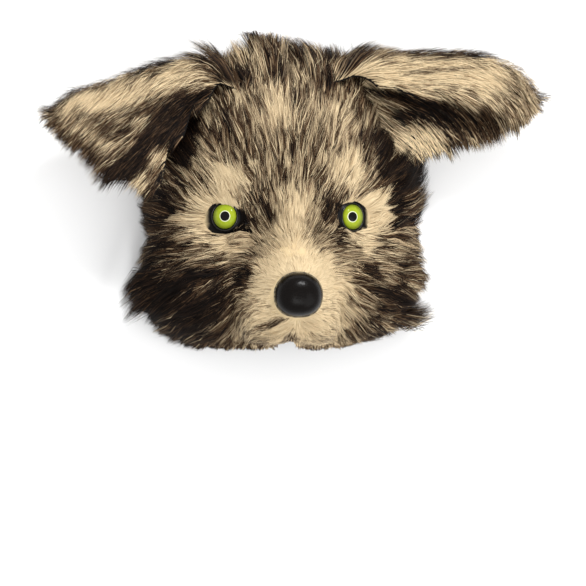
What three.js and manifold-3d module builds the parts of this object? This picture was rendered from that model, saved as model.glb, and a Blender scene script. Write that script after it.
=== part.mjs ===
// A costume wolf half-mask: long fake fur over a hollow moulded black shell, with two folded fur ears,
// two domed plastic eyes and a moulded nose. It lies face up on its flat back rim.
//
// Frame, in millimetres: +Z is the way the face looks, +Y is towards the crown and +X is the picture's right.
// The shapes are worked out with the point midway between the eyes at X 0, Y 0, and the back rim at Z 0.
// At the end the whole mask is moved in X and Y so that its box is centred over the origin.

import * as THREE from "three";
import { mergeVertices } from "three/addons/utils/BufferGeometryUtils.js";
import Module from "manifold-3d";

const wasm = await Module();
wasm.setup();

// Driving dimensions of the shell

const SHELL_WALL = 2.5;
const GLUE_GAP = 0.3;
const LUMP_BLEND = 15;
const HEART = [0, -5, 0]; // the point inside the head that every surface is measured from
const REACH = 230; // further from HEART than any part of the head
const SHELL_LOWER_EDGE = -97;

// The moulded form is a soft union of these ellipsoids. A lump with twin: true is there on both sides.
const LUMPS = [
  { part: "skull", centre: [0, 19, 0], radii: [99, 105, 96] },
  { part: "jowls", centre: [0, -50, 0], radii: [96, 68, 74] },
  { part: "brow", centre: [0, 30, 48], radii: [64, 42, 46] },
  { part: "cheek", centre: [54, -42, 30], radii: [44, 48, 48], twin: true },
  { part: "bridge", centre: [0, -20, 70], radii: [17, 44, 38] },
  { part: "muzzle root", centre: [0, -56, 48], radii: [47, 48, 54] },
  { part: "muzzle", centre: [0, -62, 84], radii: [27, 32, 56] },
  { part: "lip", centre: [14, -80, 86], radii: [19, 20, 34], twin: true },
];

// Driving dimensions of the eyes and the nose

const EYE = { x: 52, y: 0, radius: 10.2, rim: 1.3, dome: 5.2, outward: 31 };
const EYE_BOSS = { radius: 12.8, lift: 1.6, seat: 1.4 };
const EYE_OPENING = { outer: 16, height: 14.5, innerCorner: 29, cornerNarrowing: 0.45, slant: 13 };
const EYE_CUT_BASE = 40; // the eye openings and sight holes are cut from this height up
const SIGHT_HOLE = { x: 33, y: -4, halfWidth: 6, halfHeight: 3.6 };
const NOSE = { centre: [0, -64, 141], halfWidth: 18.7, halfHeight: 17.3, rise: 14.5 };
const NOSE_OUTLINE = { squareness: 2.3, topTaper: 0.13 };

// Driving dimensions of the fur

const FUR = { general: 12, cheeks: 15, muzzle: 4, eyes: 5, noseHoleMargin: 0.5 };
const LOCKS = { around: 18, rowAngle: 14, lift: 9, firstRowAngle: 28, fullLiftAngle: 60 };
const FRINGE = { lowest: -102, cheekRise: 24, tooth: 6.5, teeth: 17, halfWidth: 120 };
const LIP_NOTCH = { height: 5, halfWidth: 9 };

// Driving dimensions of the ears. crest is the folded top line from inside the head to the tip. The flaps are
// [share of the length, width] pairs, measured from the crest down the front and down the back.
const EAR_PILE = 13;
const EAR_RIGHT = {
  side: 1,
  crest: [[22, 103, 44], [58, 129, 50], [110, 134, 56], [162, 132, 60], [197, 117, 60], [214, 98, 58]],
  foldRadius: [15, 9],
  frontFlap: [[0, 14], [0.2, 26], [0.45, 40], [0.7, 43], [0.88, 34], [1, 5]],
  rearFlap: [[0, 92], [0.3, 104], [0.5, 97], [0.7, 78], [0.88, 44], [1, 5]],
  frontSplay: 8,
  rearSplay: -4,
};
const EAR_LEFT = {
  side: -1,
  crest: [[-26, 101, 44], [-62, 125, 52], [-100, 123, 58], [-140, 109, 62], [-172, 97, 62], [-194, 82, 60]],
  foldRadius: [16, 10],
  frontFlap: [[0, 20], [0.22, 30], [0.36, 46], [0.5, 68], [0.66, 98], [0.8, 80], [0.92, 42], [1, 5]],
  rearFlap: [[0, 84], [0.3, 96], [0.5, 92], [0.7, 66], [0.88, 38], [1, 5]],
  frontSplay: 6,
  rearSplay: -2,
};
const EAR_EDGE = { teeth: 6, tooth: 9, ridge: 1.6 };

// How finely the surfaces are stepped
const SHELL_COLUMNS = 36;
const SHELL_ROWS = [...evenRows(5, 100, 14), 135, 175];
const FUR_COLUMNS = 72;
const FUR_ROWS = [...evenRows(5, 98, 20), 135, 174];
const EAR_STEPS = 24;
const EAR_STEPS_PER_FLAP = 4;
const ROUND_STEPS = 20;

// Small helpers

const Y_AXIS = new THREE.Vector3(0, 1, 0);
const Z_AXIS = new THREE.Vector3(0, 0, 1);
const radians = THREE.MathUtils.degToRad;
const smooth = THREE.MathUtils.smoothstep;

function bell(distance, width) {
  return Math.exp(-((distance / width) ** 2));
}

// The angles of a full turn in radians, evenly spaced.
function evenTurns(count) {
  return Array.from({ length: count }, (_, step) => (step / count) * 2 * Math.PI);
}

// Angles in degrees from the middle of the face, evenly spaced.
function evenRows(first, last, count) {
  return Array.from({ length: count }, (_, row) => first + ((last - first) * row) / (count - 1));
}

// A value between [position, value] pairs, with an even change between them.
function along(stations, at) {
  const next = Math.max(1, stations.findIndex(([place]) => place >= at));
  const [from, low] = stations[next - 1];
  const [to, high] = stations[next];
  return low + (high - low) * smooth(at, from, to);
}

// Turns a closed triangle mesh into a manifold-3d solid.
function solid(geometry) {
  const plain = geometry.clone();
  plain.deleteAttribute("normal");
  plain.deleteAttribute("uv");
  const merged = mergeVertices(plain, 1e-3);
  return new wasm.Manifold(
    new wasm.Mesh({
      numProp: 3,
      vertProperties: merged.attributes.position.array,
      triVerts: new Uint32Array(merged.index.array),
    }),
  );
}

// Turns a manifold-3d solid back into a three.js geometry.
function geometryOf(shape) {
  const mesh = shape.getMesh();
  const places = new Float32Array(mesh.numVert * 3);
  for (let i = 0; i < mesh.numVert; i++) {
    places.set(mesh.vertProperties.subarray(i * mesh.numProp, i * mesh.numProp + 3), i * 3);
  }
  const geometry = new THREE.BufferGeometry();
  geometry.setAttribute("position", new THREE.BufferAttribute(places, 3));
  geometry.setIndex(new THREE.BufferAttribute(mesh.triVerts, 1));
  geometry.computeVertexNormals();
  return geometry;
}

// The largest body of a cut solid, without the slivers that a cut can leave.
function mainBody(shape) {
  return shape.decompose().reduce((best, body) => (body.volume() > best.volume() ? body : best));
}

// A closed surface from rings of points. The first and last rings are closed with a fan to their middles.
function lofted(rings) {
  const across = rings[0].length;
  const places = rings.flat();
  const triangles = [];
  for (let row = 0; row + 1 < rings.length; row++) {
    for (let i = 0; i < across; i++) {
      const a = row * across + i;
      const b = row * across + ((i + 1) % across);
      triangles.push(a, a + across, b, b, a + across, b + across);
    }
  }
  for (const [row, turn] of [[0, 1], [rings.length - 1, -1]]) {
    const middle = new THREE.Vector3();
    rings[row].forEach((point) => middle.add(point));
    places.push(middle.divideScalar(across));
    for (let i = 0; i < across; i++) {
      const a = row * across + i;
      const b = row * across + ((i + 1) % across);
      triangles.push(places.length - 1, ...(turn > 0 ? [a, b] : [b, a]));
    }
  }
  const geometry = new THREE.BufferGeometry().setFromPoints(places);
  geometry.setIndex(triangles);
  return geometry;
}

// The moulded form

const lumps = LUMPS.flatMap((lump) =>
  lump.twin ? [lump, { ...lump, centre: [-lump.centre[0], lump.centre[1], lump.centre[2]] }] : [lump],
);

// How far a point is outside the moulded form, in millimetres; negative inside it. Each lump's distance is
// estimated from its own ellipsoid, and an exponential sum blends the lumps.
function outside(x, y, z) {
  let sum = 0;
  for (const { centre, radii } of lumps) {
    const [u, v, w] = [x - centre[0], y - centre[1], z - centre[2]];
    const near = Math.hypot(u / radii[0], v / radii[1], w / radii[2]);
    const steep = Math.hypot(u / radii[0] ** 2, v / radii[1] ** 2, w / radii[2] ** 2);
    const distance = steep > 0 ? (near * (near - 1)) / steep : -Math.min(...radii);
    sum += Math.exp((-4 * distance) / LUMP_BLEND);
  }
  return (-LUMP_BLEND / 4) * Math.log(sum);
}

// The furthest point from HEART, in a direction, that is as far outside the form as depth(x, y, z) says.
function surfacePoint(direction, depth) {
  const at = (reach) => HEART.map((start, axis) => start + reach * direction.getComponent(axis));
  const over = (reach) => {
    const point = at(reach);
    return outside(...point) - depth(...point);
  };
  const stride = 4;
  let near = REACH;
  while (over(near) > 0 && near > stride) near -= stride;
  let far = near + stride;
  for (let halving = 0; halving < 18; halving++) {
    const middle = (near + far) / 2;
    if (over(middle) > 0) far = middle;
    else near = middle;
  }
  return new THREE.Vector3(...at(near));
}

// A closed surface round HEART with its pole at the middle of the face. raise(around, down) lifts it.
function roundForm(depth, columns, rowAngles, raise = () => 0) {
  const rings = rowAngles.map((down) =>
    evenTurns(columns).map((around) => {
      const direction = new THREE.Vector3(0, 0, 1).applyAxisAngle(Y_AXIS, radians(down));
      direction.applyAxisAngle(Z_AXIS, around);
      return surfacePoint(direction, depth).addScaledVector(direction, raise(around, down));
    }),
  );
  return solid(lofted(rings));
}

// The moulded form, grown outwards by a distance or shrunk by a negative one.
const plainForm = (growth) => roundForm(() => growth, SHELL_COLUMNS, SHELL_ROWS);

function boxBetween(low, high) {
  const size = high.map((value, axis) => value - low[axis]);
  const middle = high.map((value, axis) => (value + low[axis]) / 2);
  return solid(new THREE.BoxGeometry(...size).translate(...middle));
}

// The eyes' seats

// Places a shape that is built round +Z at an eye, facing out along the eye's own line.
function atEye(geometry, side) {
  return solid(geometry.rotateY(side * radians(EYE.outward)).translate(...eyeSeat(side)));
}

// The point of the moulded surface behind an eye.
function eyeSeat(side) {
  let z = REACH;
  while (outside(side * EYE.x, EYE.y, z) > 0) z -= 0.25;
  return [side * EYE.x, EYE.y, z];
}

function disc(radius, from, to) {
  return new THREE.CylinderGeometry(radius, radius, to - from, ROUND_STEPS)
    .rotateX(Math.PI / 2)
    .translate(0, 0, (from + to) / 2);
}

// A prism that cuts along Z through an outline of [x, y] points, from a height up.
function prism(outline, from) {
  const shape = new THREE.Shape(outline.map(([x, y]) => new THREE.Vector2(x, y)));
  return solid(new THREE.ExtrudeGeometry(shape, { depth: REACH, bevelEnabled: false }).translate(0, 0, from));
}

// The almond cut in the fur round an eye: round at its outer end, drawn out to a slanting inner corner.
function eyeOpening(side) {
  const slant = radians(EYE_OPENING.slant);
  const outline = evenTurns(ROUND_STEPS).map((turn) => {
    const inward = Math.max(0, -Math.cos(turn)) ** 2;
    const length = EYE_OPENING.outer + (EYE_OPENING.innerCorner - EYE_OPENING.outer) * inward;
    const height = EYE_OPENING.height * (1 - EYE_OPENING.cornerNarrowing * inward);
    const [u, v] = [length * Math.cos(turn), height * Math.sin(turn)];
    return [
      side * (EYE.x + u * Math.cos(slant) - v * Math.sin(slant)),
      EYE.y + u * Math.sin(slant) + v * Math.cos(slant),
    ];
  });
  return prism(side > 0 ? outline : outline.reverse(), EYE_CUT_BASE);
}

// The oval that the wearer looks through, in the inner corner of an eye opening.
function sightHole(side) {
  const outline = evenTurns(12).map((turn) => [
    side * SIGHT_HOLE.x + SIGHT_HOLE.halfWidth * Math.cos(turn),
    SIGHT_HOLE.y + SIGHT_HOLE.halfHeight * Math.sin(turn),
  ]);
  return prism(outline, EYE_CUT_BASE);
}

// The nose

// A rounded pad, a little wider below its middle, domed to the front. grow makes the hole that it sits in.
function nosePad(grow = 0) {
  const rings = evenRows(10, 150, 8).map((down) =>
    evenTurns(24).map((turn) => {
      const [c, s] = [Math.cos(turn), Math.sin(turn)];
      const power = NOSE_OUTLINE.squareness;
      const square = (Math.abs(c) ** power + Math.abs(s) ** power) ** (-1 / power);
      const flat = Math.sin(radians(down)) ** 0.8 * square;
      const taper = 1 - NOSE_OUTLINE.topTaper * Math.max(0, s) ** 2;
      return new THREE.Vector3(
        NOSE.centre[0] + (NOSE.halfWidth + grow) * flat * c * taper,
        NOSE.centre[1] + (NOSE.halfHeight + grow) * flat * s,
        NOSE.centre[2] + (NOSE.rise + grow) * Math.cos(radians(down)),
      );
    }),
  );
  return solid(lofted(rings));
}

// The fur

// How deep the fur stands over the moulded form at a place: short on the muzzle and round the eyes.
function pile(x, y, z) {
  const muzzle = bell(Math.hypot(x, (y + 60) / 1.1), 46) * smooth(z, 40, 80);
  const eyes = bell(Math.hypot(Math.abs(x) - EYE.x + 6, y * 1.3), 26) * smooth(z, 30, 70);
  const cheeks = bell(Math.hypot((Math.abs(x) - 95) / 1.2, y + 55), 48);
  const depth = FUR.general + (FUR.cheeks - FUR.general) * cheeks;
  const shorter = (FUR.general - FUR.muzzle) * muzzle + (FUR.general - FUR.eyes) * eyes;
  return Math.max(FUR.muzzle, depth - shorter);
}

// Overlapping pointed locks in rows round the face, like shingles: each rises slowly along the fur's lie and
// ends in a point.
function lockHeight(around, down) {
  if (down < LOCKS.firstRowAngle) return 0;
  const run = (down - LOCKS.firstRowAngle) / LOCKS.rowAngle;
  const turn = (around / (2 * Math.PI)) * LOCKS.around;
  const row = Math.floor(run);
  const place = turn + (row % 2) / 2;
  const offMiddle = Math.abs(place - Math.floor(place) - 0.5) * 2;
  const tip = 1 - 0.55 * offMiddle;
  const rise = run - row;
  const height = rise < tip ? (rise / tip) ** 1.4 : Math.max(0, 1 - (rise - tip) * 5);
  const growth = smooth(down, LOCKS.firstRowAngle, LOCKS.fullLiftAngle);
  return LOCKS.lift * growth * height * (1 - 0.35 * offMiddle);
}

// The same locks, nearly flat on the short fur below the nose.
function raisedLocks(around, down) {
  const below = Math.max(0, -Math.sin(around)) ** 3;
  return lockHeight(around, down) * (1 - 0.85 * below * (1 - smooth(down, 45, 80)));
}

// The lower edge of the fur: a row of points across the cheeks and lip, with a notch under the nose.
function fringeCutter() {
  const outline = [];
  const steps = FRINGE.teeth * 2;
  for (let step = 0; step <= steps; step++) {
    const x = -FRINGE.halfWidth + (step / steps) * 2 * FRINGE.halfWidth;
    const notch = LIP_NOTCH.height * bell(x, LIP_NOTCH.halfWidth);
    const rise = FRINGE.cheekRise * smooth(Math.abs(x), 50, FRINGE.halfWidth);
    const tooth = step % 2 ? -FRINGE.tooth / 2 : FRINGE.tooth / 2;
    outline.push([x, FRINGE.lowest + notch + rise + tooth]);
  }
  outline.push([REACH, FRINGE.lowest], [REACH, -REACH], [-REACH, -REACH], [-REACH, FRINGE.lowest]);
  return prism(outline.reverse(), -10);
}

const belowFloor = boxBetween([-REACH, -REACH, -REACH], [REACH, REACH, 0]);

// The outer shape of the face's fur, grown by a gap.
const furForm = (gap) => roundForm((x, y, z) => pile(x, y, z) + gap, FUR_COLUMNS, FUR_ROWS, raisedLocks);

function makePelt() {
  let pelt = furForm(0).subtract(plainForm(GLUE_GAP)).subtract(belowFloor).subtract(fringeCutter());
  for (const side of [-1, 1]) pelt = pelt.subtract(eyeOpening(side));
  return pelt.subtract(nosePad(FUR.noseHoleMargin));
}

// The shell

function makeShell() {
  let shell = plainForm(0);
  const boss = () => disc(EYE_BOSS.radius, -EYE_BOSS.radius, EYE_BOSS.lift);
  const seat = () => disc(EYE.radius + GLUE_GAP, EYE_BOSS.lift - EYE_BOSS.seat, EYE_BOSS.radius);
  for (const side of [-1, 1]) shell = shell.add(atEye(boss(), side));
  shell = shell.subtract(plainForm(-SHELL_WALL));
  for (const side of [-1, 1]) {
    shell = shell.subtract(atEye(seat(), side));
    shell = shell.subtract(sightHole(side));
  }
  const mouth = boxBetween([-REACH, -REACH, -REACH], [REACH, SHELL_LOWER_EDGE, REACH]);
  return shell.subtract(belowFloor).subtract(mouth);
}

// A domed lens with a short upright rim, sunk a little in its boss.
function makeEye(side) {
  const base = EYE_BOSS.lift - EYE_BOSS.seat + GLUE_GAP;
  const profile = [new THREE.Vector2(0, base), new THREE.Vector2(EYE.radius, base)];
  const climbs = 5;
  for (let step = 0; step < climbs; step++) {
    const climb = (step / climbs) * (Math.PI / 2);
    const height = base + EYE.rim + EYE.dome * Math.sin(climb);
    profile.push(new THREE.Vector2(EYE.radius * Math.cos(climb), height));
  }
  profile.push(new THREE.Vector2(0, base + EYE.rim + EYE.dome));
  return atEye(new THREE.LatheGeometry(profile, ROUND_STEPS).rotateX(Math.PI / 2), side);
}

// The ears

// A thick sheet folded over a crest line: a front flap hangs towards the viewer and a rear flap behind it.
function makeEar(ear) {
  const crest = new THREE.CatmullRomCurve3(ear.crest.map((point) => new THREE.Vector3(...point)));
  const forward = new THREE.Vector3(...ear.crest.at(-1)).sub(new THREE.Vector3(...ear.crest[1])).normalize();
  const front = new THREE.Vector3(0, 0, 1);
  front.addScaledVector(forward, -front.dot(forward)).normalize();
  const down = new THREE.Vector3().crossVectors(forward, front).multiplyScalar(ear.side);
  const rings = [];
  for (let step = 0; step <= EAR_STEPS; step++) {
    const share = step / EAR_STEPS;
    const top = crest.getPointAt(share);
    const radius = ear.foldRadius[0] + (ear.foldRadius[1] - ear.foldRadius[0]) * share;
    const tooth = ((share * EAR_EDGE.teeth) % 1) ** 1.5 * EAR_EDGE.tooth * smooth(share, 0.15, 0.4);
    const tipTaper = Math.sqrt(Math.max(0.05, 1 - share ** 6));

    // A point of the folded sheet, and the way its outer face looks, at a signed distance from the crest.
    const sheet = (distance) => {
      const sign = distance < 0 ? -1 : 1;
      const splay = radians(sign > 0 ? ear.frontSplay : ear.rearSplay);
      const bend = Math.PI / 2 - splay;
      const turn = Math.min(Math.abs(distance) / radius, bend);
      const straight = Math.max(0, Math.abs(distance) - radius * bend);
      const point = top
        .clone()
        .addScaledVector(front, sign * (radius * Math.sin(turn) + straight * Math.cos(bend)))
        .addScaledVector(down, radius * (1 - Math.cos(turn)) + straight * Math.sin(bend));
      const out = front.clone().multiplyScalar(sign * Math.sin(turn)).addScaledVector(down, -Math.cos(turn));
      return { point, out };
    };

    const outer = [];
    const inner = [];
    for (let i = -EAR_STEPS_PER_FLAP; i <= EAR_STEPS_PER_FLAP; i++) {
      const width = along(i < 0 ? ear.rearFlap : ear.frontFlap, share) + tooth;
      const across = Math.abs(i) / EAR_STEPS_PER_FLAP;
      const { point, out } = sheet(Math.sign(i) * width * across);
      const thin = Math.sqrt(1 - across ** 3) * tipTaper;
      const ridge = EAR_EDGE.ridge * (i % 2 === 0 ? 1 : -1) * (1 - across);
      outer.push(point.clone().addScaledVector(out, (EAR_PILE / 2 + ridge) * thin));
      if (across < 1) inner.push(point.clone().addScaledVector(out, (-EAR_PILE / 2) * thin));
    }
    const ring = [...outer, ...inner.reverse()];
    rings.push(ear.side > 0 ? ring.reverse() : ring);
  }
  return solid(lofted(rings));
}

// The whole mask

const FINISHES = {
  pelt: new THREE.MeshStandardMaterial({ color: 0xa8977a, roughness: 0.85, metalness: 0 }),
  ear: new THREE.MeshStandardMaterial({ color: 0xb9a685, roughness: 0.85, metalness: 0 }),
  shell: new THREE.MeshStandardMaterial({ color: 0x1b181a, roughness: 0.5, metalness: 0 }),
  eye: new THREE.MeshStandardMaterial({ color: 0xa8c62e, roughness: 0.12, metalness: 0 }),
  nose: new THREE.MeshStandardMaterial({ color: 0x171517, roughness: 0.3, metalness: 0 }),
};

const headWithGap = furForm(GLUE_GAP);
const pieces = [
  ["face_shell", makeShell(), FINISHES.shell],
  ["fur_pelt", makePelt(), FINISHES.pelt],
  ["ear_left", mainBody(makeEar(EAR_LEFT).subtract(headWithGap)), FINISHES.ear],
  ["ear_right", mainBody(makeEar(EAR_RIGHT).subtract(headWithGap)), FINISHES.ear],
  ["eye_left", makeEye(-1), FINISHES.eye],
  ["eye_right", makeEye(1), FINISHES.eye],
  ["nose", nosePad().subtract(plainForm(GLUE_GAP)), FINISHES.nose],
];

const mask = new THREE.Group();
for (const [name, shape, finish] of pieces) {
  const mesh = new THREE.Mesh(geometryOf(shape), finish);
  mesh.name = name;
  mask.add(mesh);
}

const box = new THREE.Box3().setFromObject(mask);
const middle = box.getCenter(new THREE.Vector3());
mask.children.forEach((mesh) => mesh.position.set(-middle.x, -middle.y, 0));

export default mask;
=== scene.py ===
"""A costume wolf half-mask, dressed: fur grown strand by strand over a moulded shell, ears, eyes and nose.

All shapes are worked out in millimetres in the face's own frame: X is the picture's right, Y the crown and Z
out of the face, with the point midway between the eyes at X 0, Y 0 and the floor at Z 0. `to_metres` then
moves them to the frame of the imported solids.
"""

import logging
import math
from dataclasses import dataclass, fields
from enum import Enum
from typing import Any, Callable, Sequence

import bmesh
import bpy
import numpy as np
from mathutils import Matrix, Vector


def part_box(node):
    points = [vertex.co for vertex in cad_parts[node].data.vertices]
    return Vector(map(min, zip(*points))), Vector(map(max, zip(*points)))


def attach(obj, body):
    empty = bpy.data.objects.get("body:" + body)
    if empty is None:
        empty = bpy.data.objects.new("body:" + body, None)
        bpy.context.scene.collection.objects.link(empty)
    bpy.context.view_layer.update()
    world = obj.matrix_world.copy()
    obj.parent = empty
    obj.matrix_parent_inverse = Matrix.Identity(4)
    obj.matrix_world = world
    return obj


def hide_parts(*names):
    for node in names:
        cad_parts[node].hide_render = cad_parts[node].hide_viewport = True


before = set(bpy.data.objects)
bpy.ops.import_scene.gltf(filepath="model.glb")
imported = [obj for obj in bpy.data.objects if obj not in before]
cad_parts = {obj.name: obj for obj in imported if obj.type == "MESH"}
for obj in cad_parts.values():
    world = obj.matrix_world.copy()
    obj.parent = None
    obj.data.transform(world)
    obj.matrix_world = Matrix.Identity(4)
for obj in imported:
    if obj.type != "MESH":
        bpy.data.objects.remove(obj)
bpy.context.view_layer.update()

Array = np.ndarray
Triple = tuple[float, float, float]
Pair = tuple[float, float]
Chance = np.random.Generator

LOG = logging.getLogger("wolf_mask")
SIDES = {-1: "left", 1: "right"}  # as seen in the picture
MM = 0.001
FLOOR_GAP = 0.35  # millimetres between the lowest hairs and the floor
TOP = 159.4  # how far up from the eyes the crown's tufts may reach, in millimetres
SOFT_TOP = 149.0  # hairs are bent back from here on
CHART = "OFBake"  # a piece's map: a hair's tone across and its length upwards, or the face of an eye


# Array helpers


def smooth(low: float, high: float, at: Array) -> Array:
    """Rise from 0 at low to 1 at high, level at both ends: three shares squared less two cubed."""
    share = np.clip((at - low) / (high - low), 0.0, 1.0)
    return share * share * (3.0 - 2.0 * share)


def bell(distance: Array, width: float) -> Array:
    """Fall from 1 at no distance: e to the minus square of distance over width."""
    return np.exp(-((distance / width) ** 2))


def length_of(vectors: Array) -> Array:
    """Length of each vector in an array whose last axis is X, Y, Z."""
    return np.sqrt(np.einsum("...i,...i->...", vectors, vectors))


def unit(vectors: Array) -> Array:
    """Each vector divided by its own length."""
    return vectors / np.maximum(length_of(vectors), 1e-9)[..., None]


def axes_of(points: Array) -> tuple[Array, Array, Array]:
    """The X, the Y and the Z of points."""
    return points[..., 0], points[..., 1], points[..., 2]


def turn_steps(count: int) -> Array:
    """Angles spaced evenly round a full turn, without its end."""
    return np.linspace(0.0, 2.0 * np.pi, count, endpoint=False)


def across(first: Array, second: Array) -> Array:
    """Each first vector without the part of it that runs along the second, a unit vector."""
    return first - second * np.einsum("...i,...i->...", first, second)[..., None]


def turned(vectors: Array, axes: Array, angles: Array) -> Array:
    """Turn each vector about a unit axis at right angles to it: cosine of it plus sine of axis times it."""
    return vectors * np.cos(angles)[..., None] + np.cross(axes, vectors) * np.sin(angles)[..., None]


def scatter(cells: Array, channel: int) -> Array:
    """Give whole-number cells a share from 0 to 1 each: the fraction left by a large sine of the cell.

    Args:
        cells: Whole numbers, three in the last axis.
        channel: Which of the cell's shares is wanted.

    Returns:
        One share for each cell.
    """
    mixed = cells[..., 0] * 127.1 + cells[..., 1] * 311.7 + cells[..., 2] * 74.7 + 19.19 * channel
    return np.mod(np.sin(mixed) * 43758.5453, 1.0)


@dataclass(frozen=True)
class Clump:
    """One size of tuft that hairs gather into: its width, how strongly it gathers them and how it turns."""

    size: float
    channel: int
    pull: float = 0.0
    turn: float = 0.0

    def near(self, points: Array, shift: int = 0) -> tuple[Array, Array]:
        """Find the tuft that each point belongs to: the nearest of one scattered middle in each cubic cell.

        Args:
            points: Places, shaped (count, 3).
            shift: Added to the channel, for other tufts of the same size.

        Returns:
            The middles of the tufts, and three random shares from 0 to 1 that a tuft's hairs have in common.
        """
        channel = self.channel + shift
        home = np.floor(points / self.size)
        best = np.full(len(points), np.inf)
        middles = np.zeros_like(points)
        cells = np.zeros_like(points)
        for step in np.ndindex(3, 3, 3):
            cell = home + (np.array(step) - 1)
            place = np.stack([scatter(cell, channel + axis) for axis in range(3)], axis=-1)
            middle = (cell + place) * self.size
            distance = length_of(points - middle)
            closer = distance < best
            best[closer] = distance[closer]
            middles[closer] = middle[closer]
            cells[closer] = cell[closer]
        shares = [scatter(cells, channel + 7 + extra) for extra in range(3)]
        return middles, np.stack(shares, axis=-1)


@dataclass(frozen=True)
class Streaks:
    """Long narrow runs of fur that look alike: their length, width, channel and how strongly they tell."""

    long: float
    wide: float
    channel: int
    weight: float = 1.0

    def share(self, along: Array, aside: Array) -> Array:
        """Give each place the random share, 0 to 1, of the run that it lies in.

        Args:
            along: Distance along the hairs' lie.
            aside: Distance across it.

        Returns:
            One share for each place.
        """
        lane = np.floor(aside / self.wide)
        level = np.zeros_like(lane)
        start = scatter(np.stack([lane, level, level], axis=-1), self.channel)
        run = np.floor(along / self.long + 9.0 * start)
        return scatter(np.stack([lane, run, level], axis=-1), self.channel + 1)

    def swing(self, along: Array, aside: Array) -> Array:
        """How far each run is lighter or darker than the middle: its share less a half, times the weight."""
        return self.weight * (self.share(along, aside) - 0.5)


def along_stations(stations: Sequence[Pair], at: Array) -> Array:
    """Read a value between [place, value] stations, with a level-ended rise from each to the next."""
    value = np.full_like(at, stations[0][1])
    for (start, low), (end, high) in zip(stations, stations[1:]):
        value = value + (high - low) * smooth(start, end, at)
    return value


# The camera's view, in which the fur's colours are laid out


@dataclass(frozen=True)
class FrontView:
    """The viewing angle of the picture: nearly square on, from a little to the picture's left."""

    azimuth: float = 7.5
    distance: float = 1602.0
    lens: float = 120.0
    sensor: float = 36.0
    picture: float = 586.0
    aim: Triple = (13.9, -62.7, 83.3)

    def axes(self) -> tuple[Array, Array, Array]:
        """Right, up and back of the view; back points from the mask to the camera."""
        angle = math.radians(self.azimuth)
        right = np.array([math.cos(angle), 0.0, math.sin(angle)])
        back = np.array([-math.sin(angle), 0.0, math.cos(angle)])
        return right, np.array([0.0, 1.0, 0.0]), back

    def target(self) -> Array:
        """The point of the mask at the middle of the picture."""
        right, up, back = self.axes()
        return right * self.aim[0] + up * self.aim[1] + back * self.aim[2]

    def seen(self, points: Array) -> Array:
        """Where points show in the picture: its size times lens over sensor times offset over depth.

        Args:
            points: Places in the face's frame, in millimetres.

        Returns:
            Places across and down, in dots of the picture, each about 0.82 mm at the eyes.
        """
        right, up, back = self.axes()
        offset = points - (self.target() + back * self.distance)
        scale = self.picture * self.lens / self.sensor / -(offset @ back)
        middle = self.picture / 2.0
        return np.stack([middle + scale * (offset @ right), middle - scale * (offset @ up)], axis=-1)


VIEW = FrontView()


class Place:
    """Where the face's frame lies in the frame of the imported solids."""

    def __init__(self) -> None:
        """Take the middle of the two eyes' boxes as the face's X 0, Y 0."""
        left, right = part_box("eye_left"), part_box("eye_right")
        middle = (left[0] + left[1] + right[0] + right[1]) / 4.0
        self.origin = np.array([middle.x, middle.y, 0.0])

    def to_metres(self, points: Array) -> Array:
        """Millimetres of the face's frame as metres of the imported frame."""
        return points * MM + self.origin

    def to_face(self, points: Array) -> Array:
        """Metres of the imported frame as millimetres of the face's frame."""
        return (points - self.origin) / MM


PLACE = Place()


# The moulded form


@dataclass(frozen=True)
class Lump:
    """One ellipsoid of the moulded form; a twin is there on both sides."""

    part: str
    centre: Triple
    radii: Triple
    twin: bool = False


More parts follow.
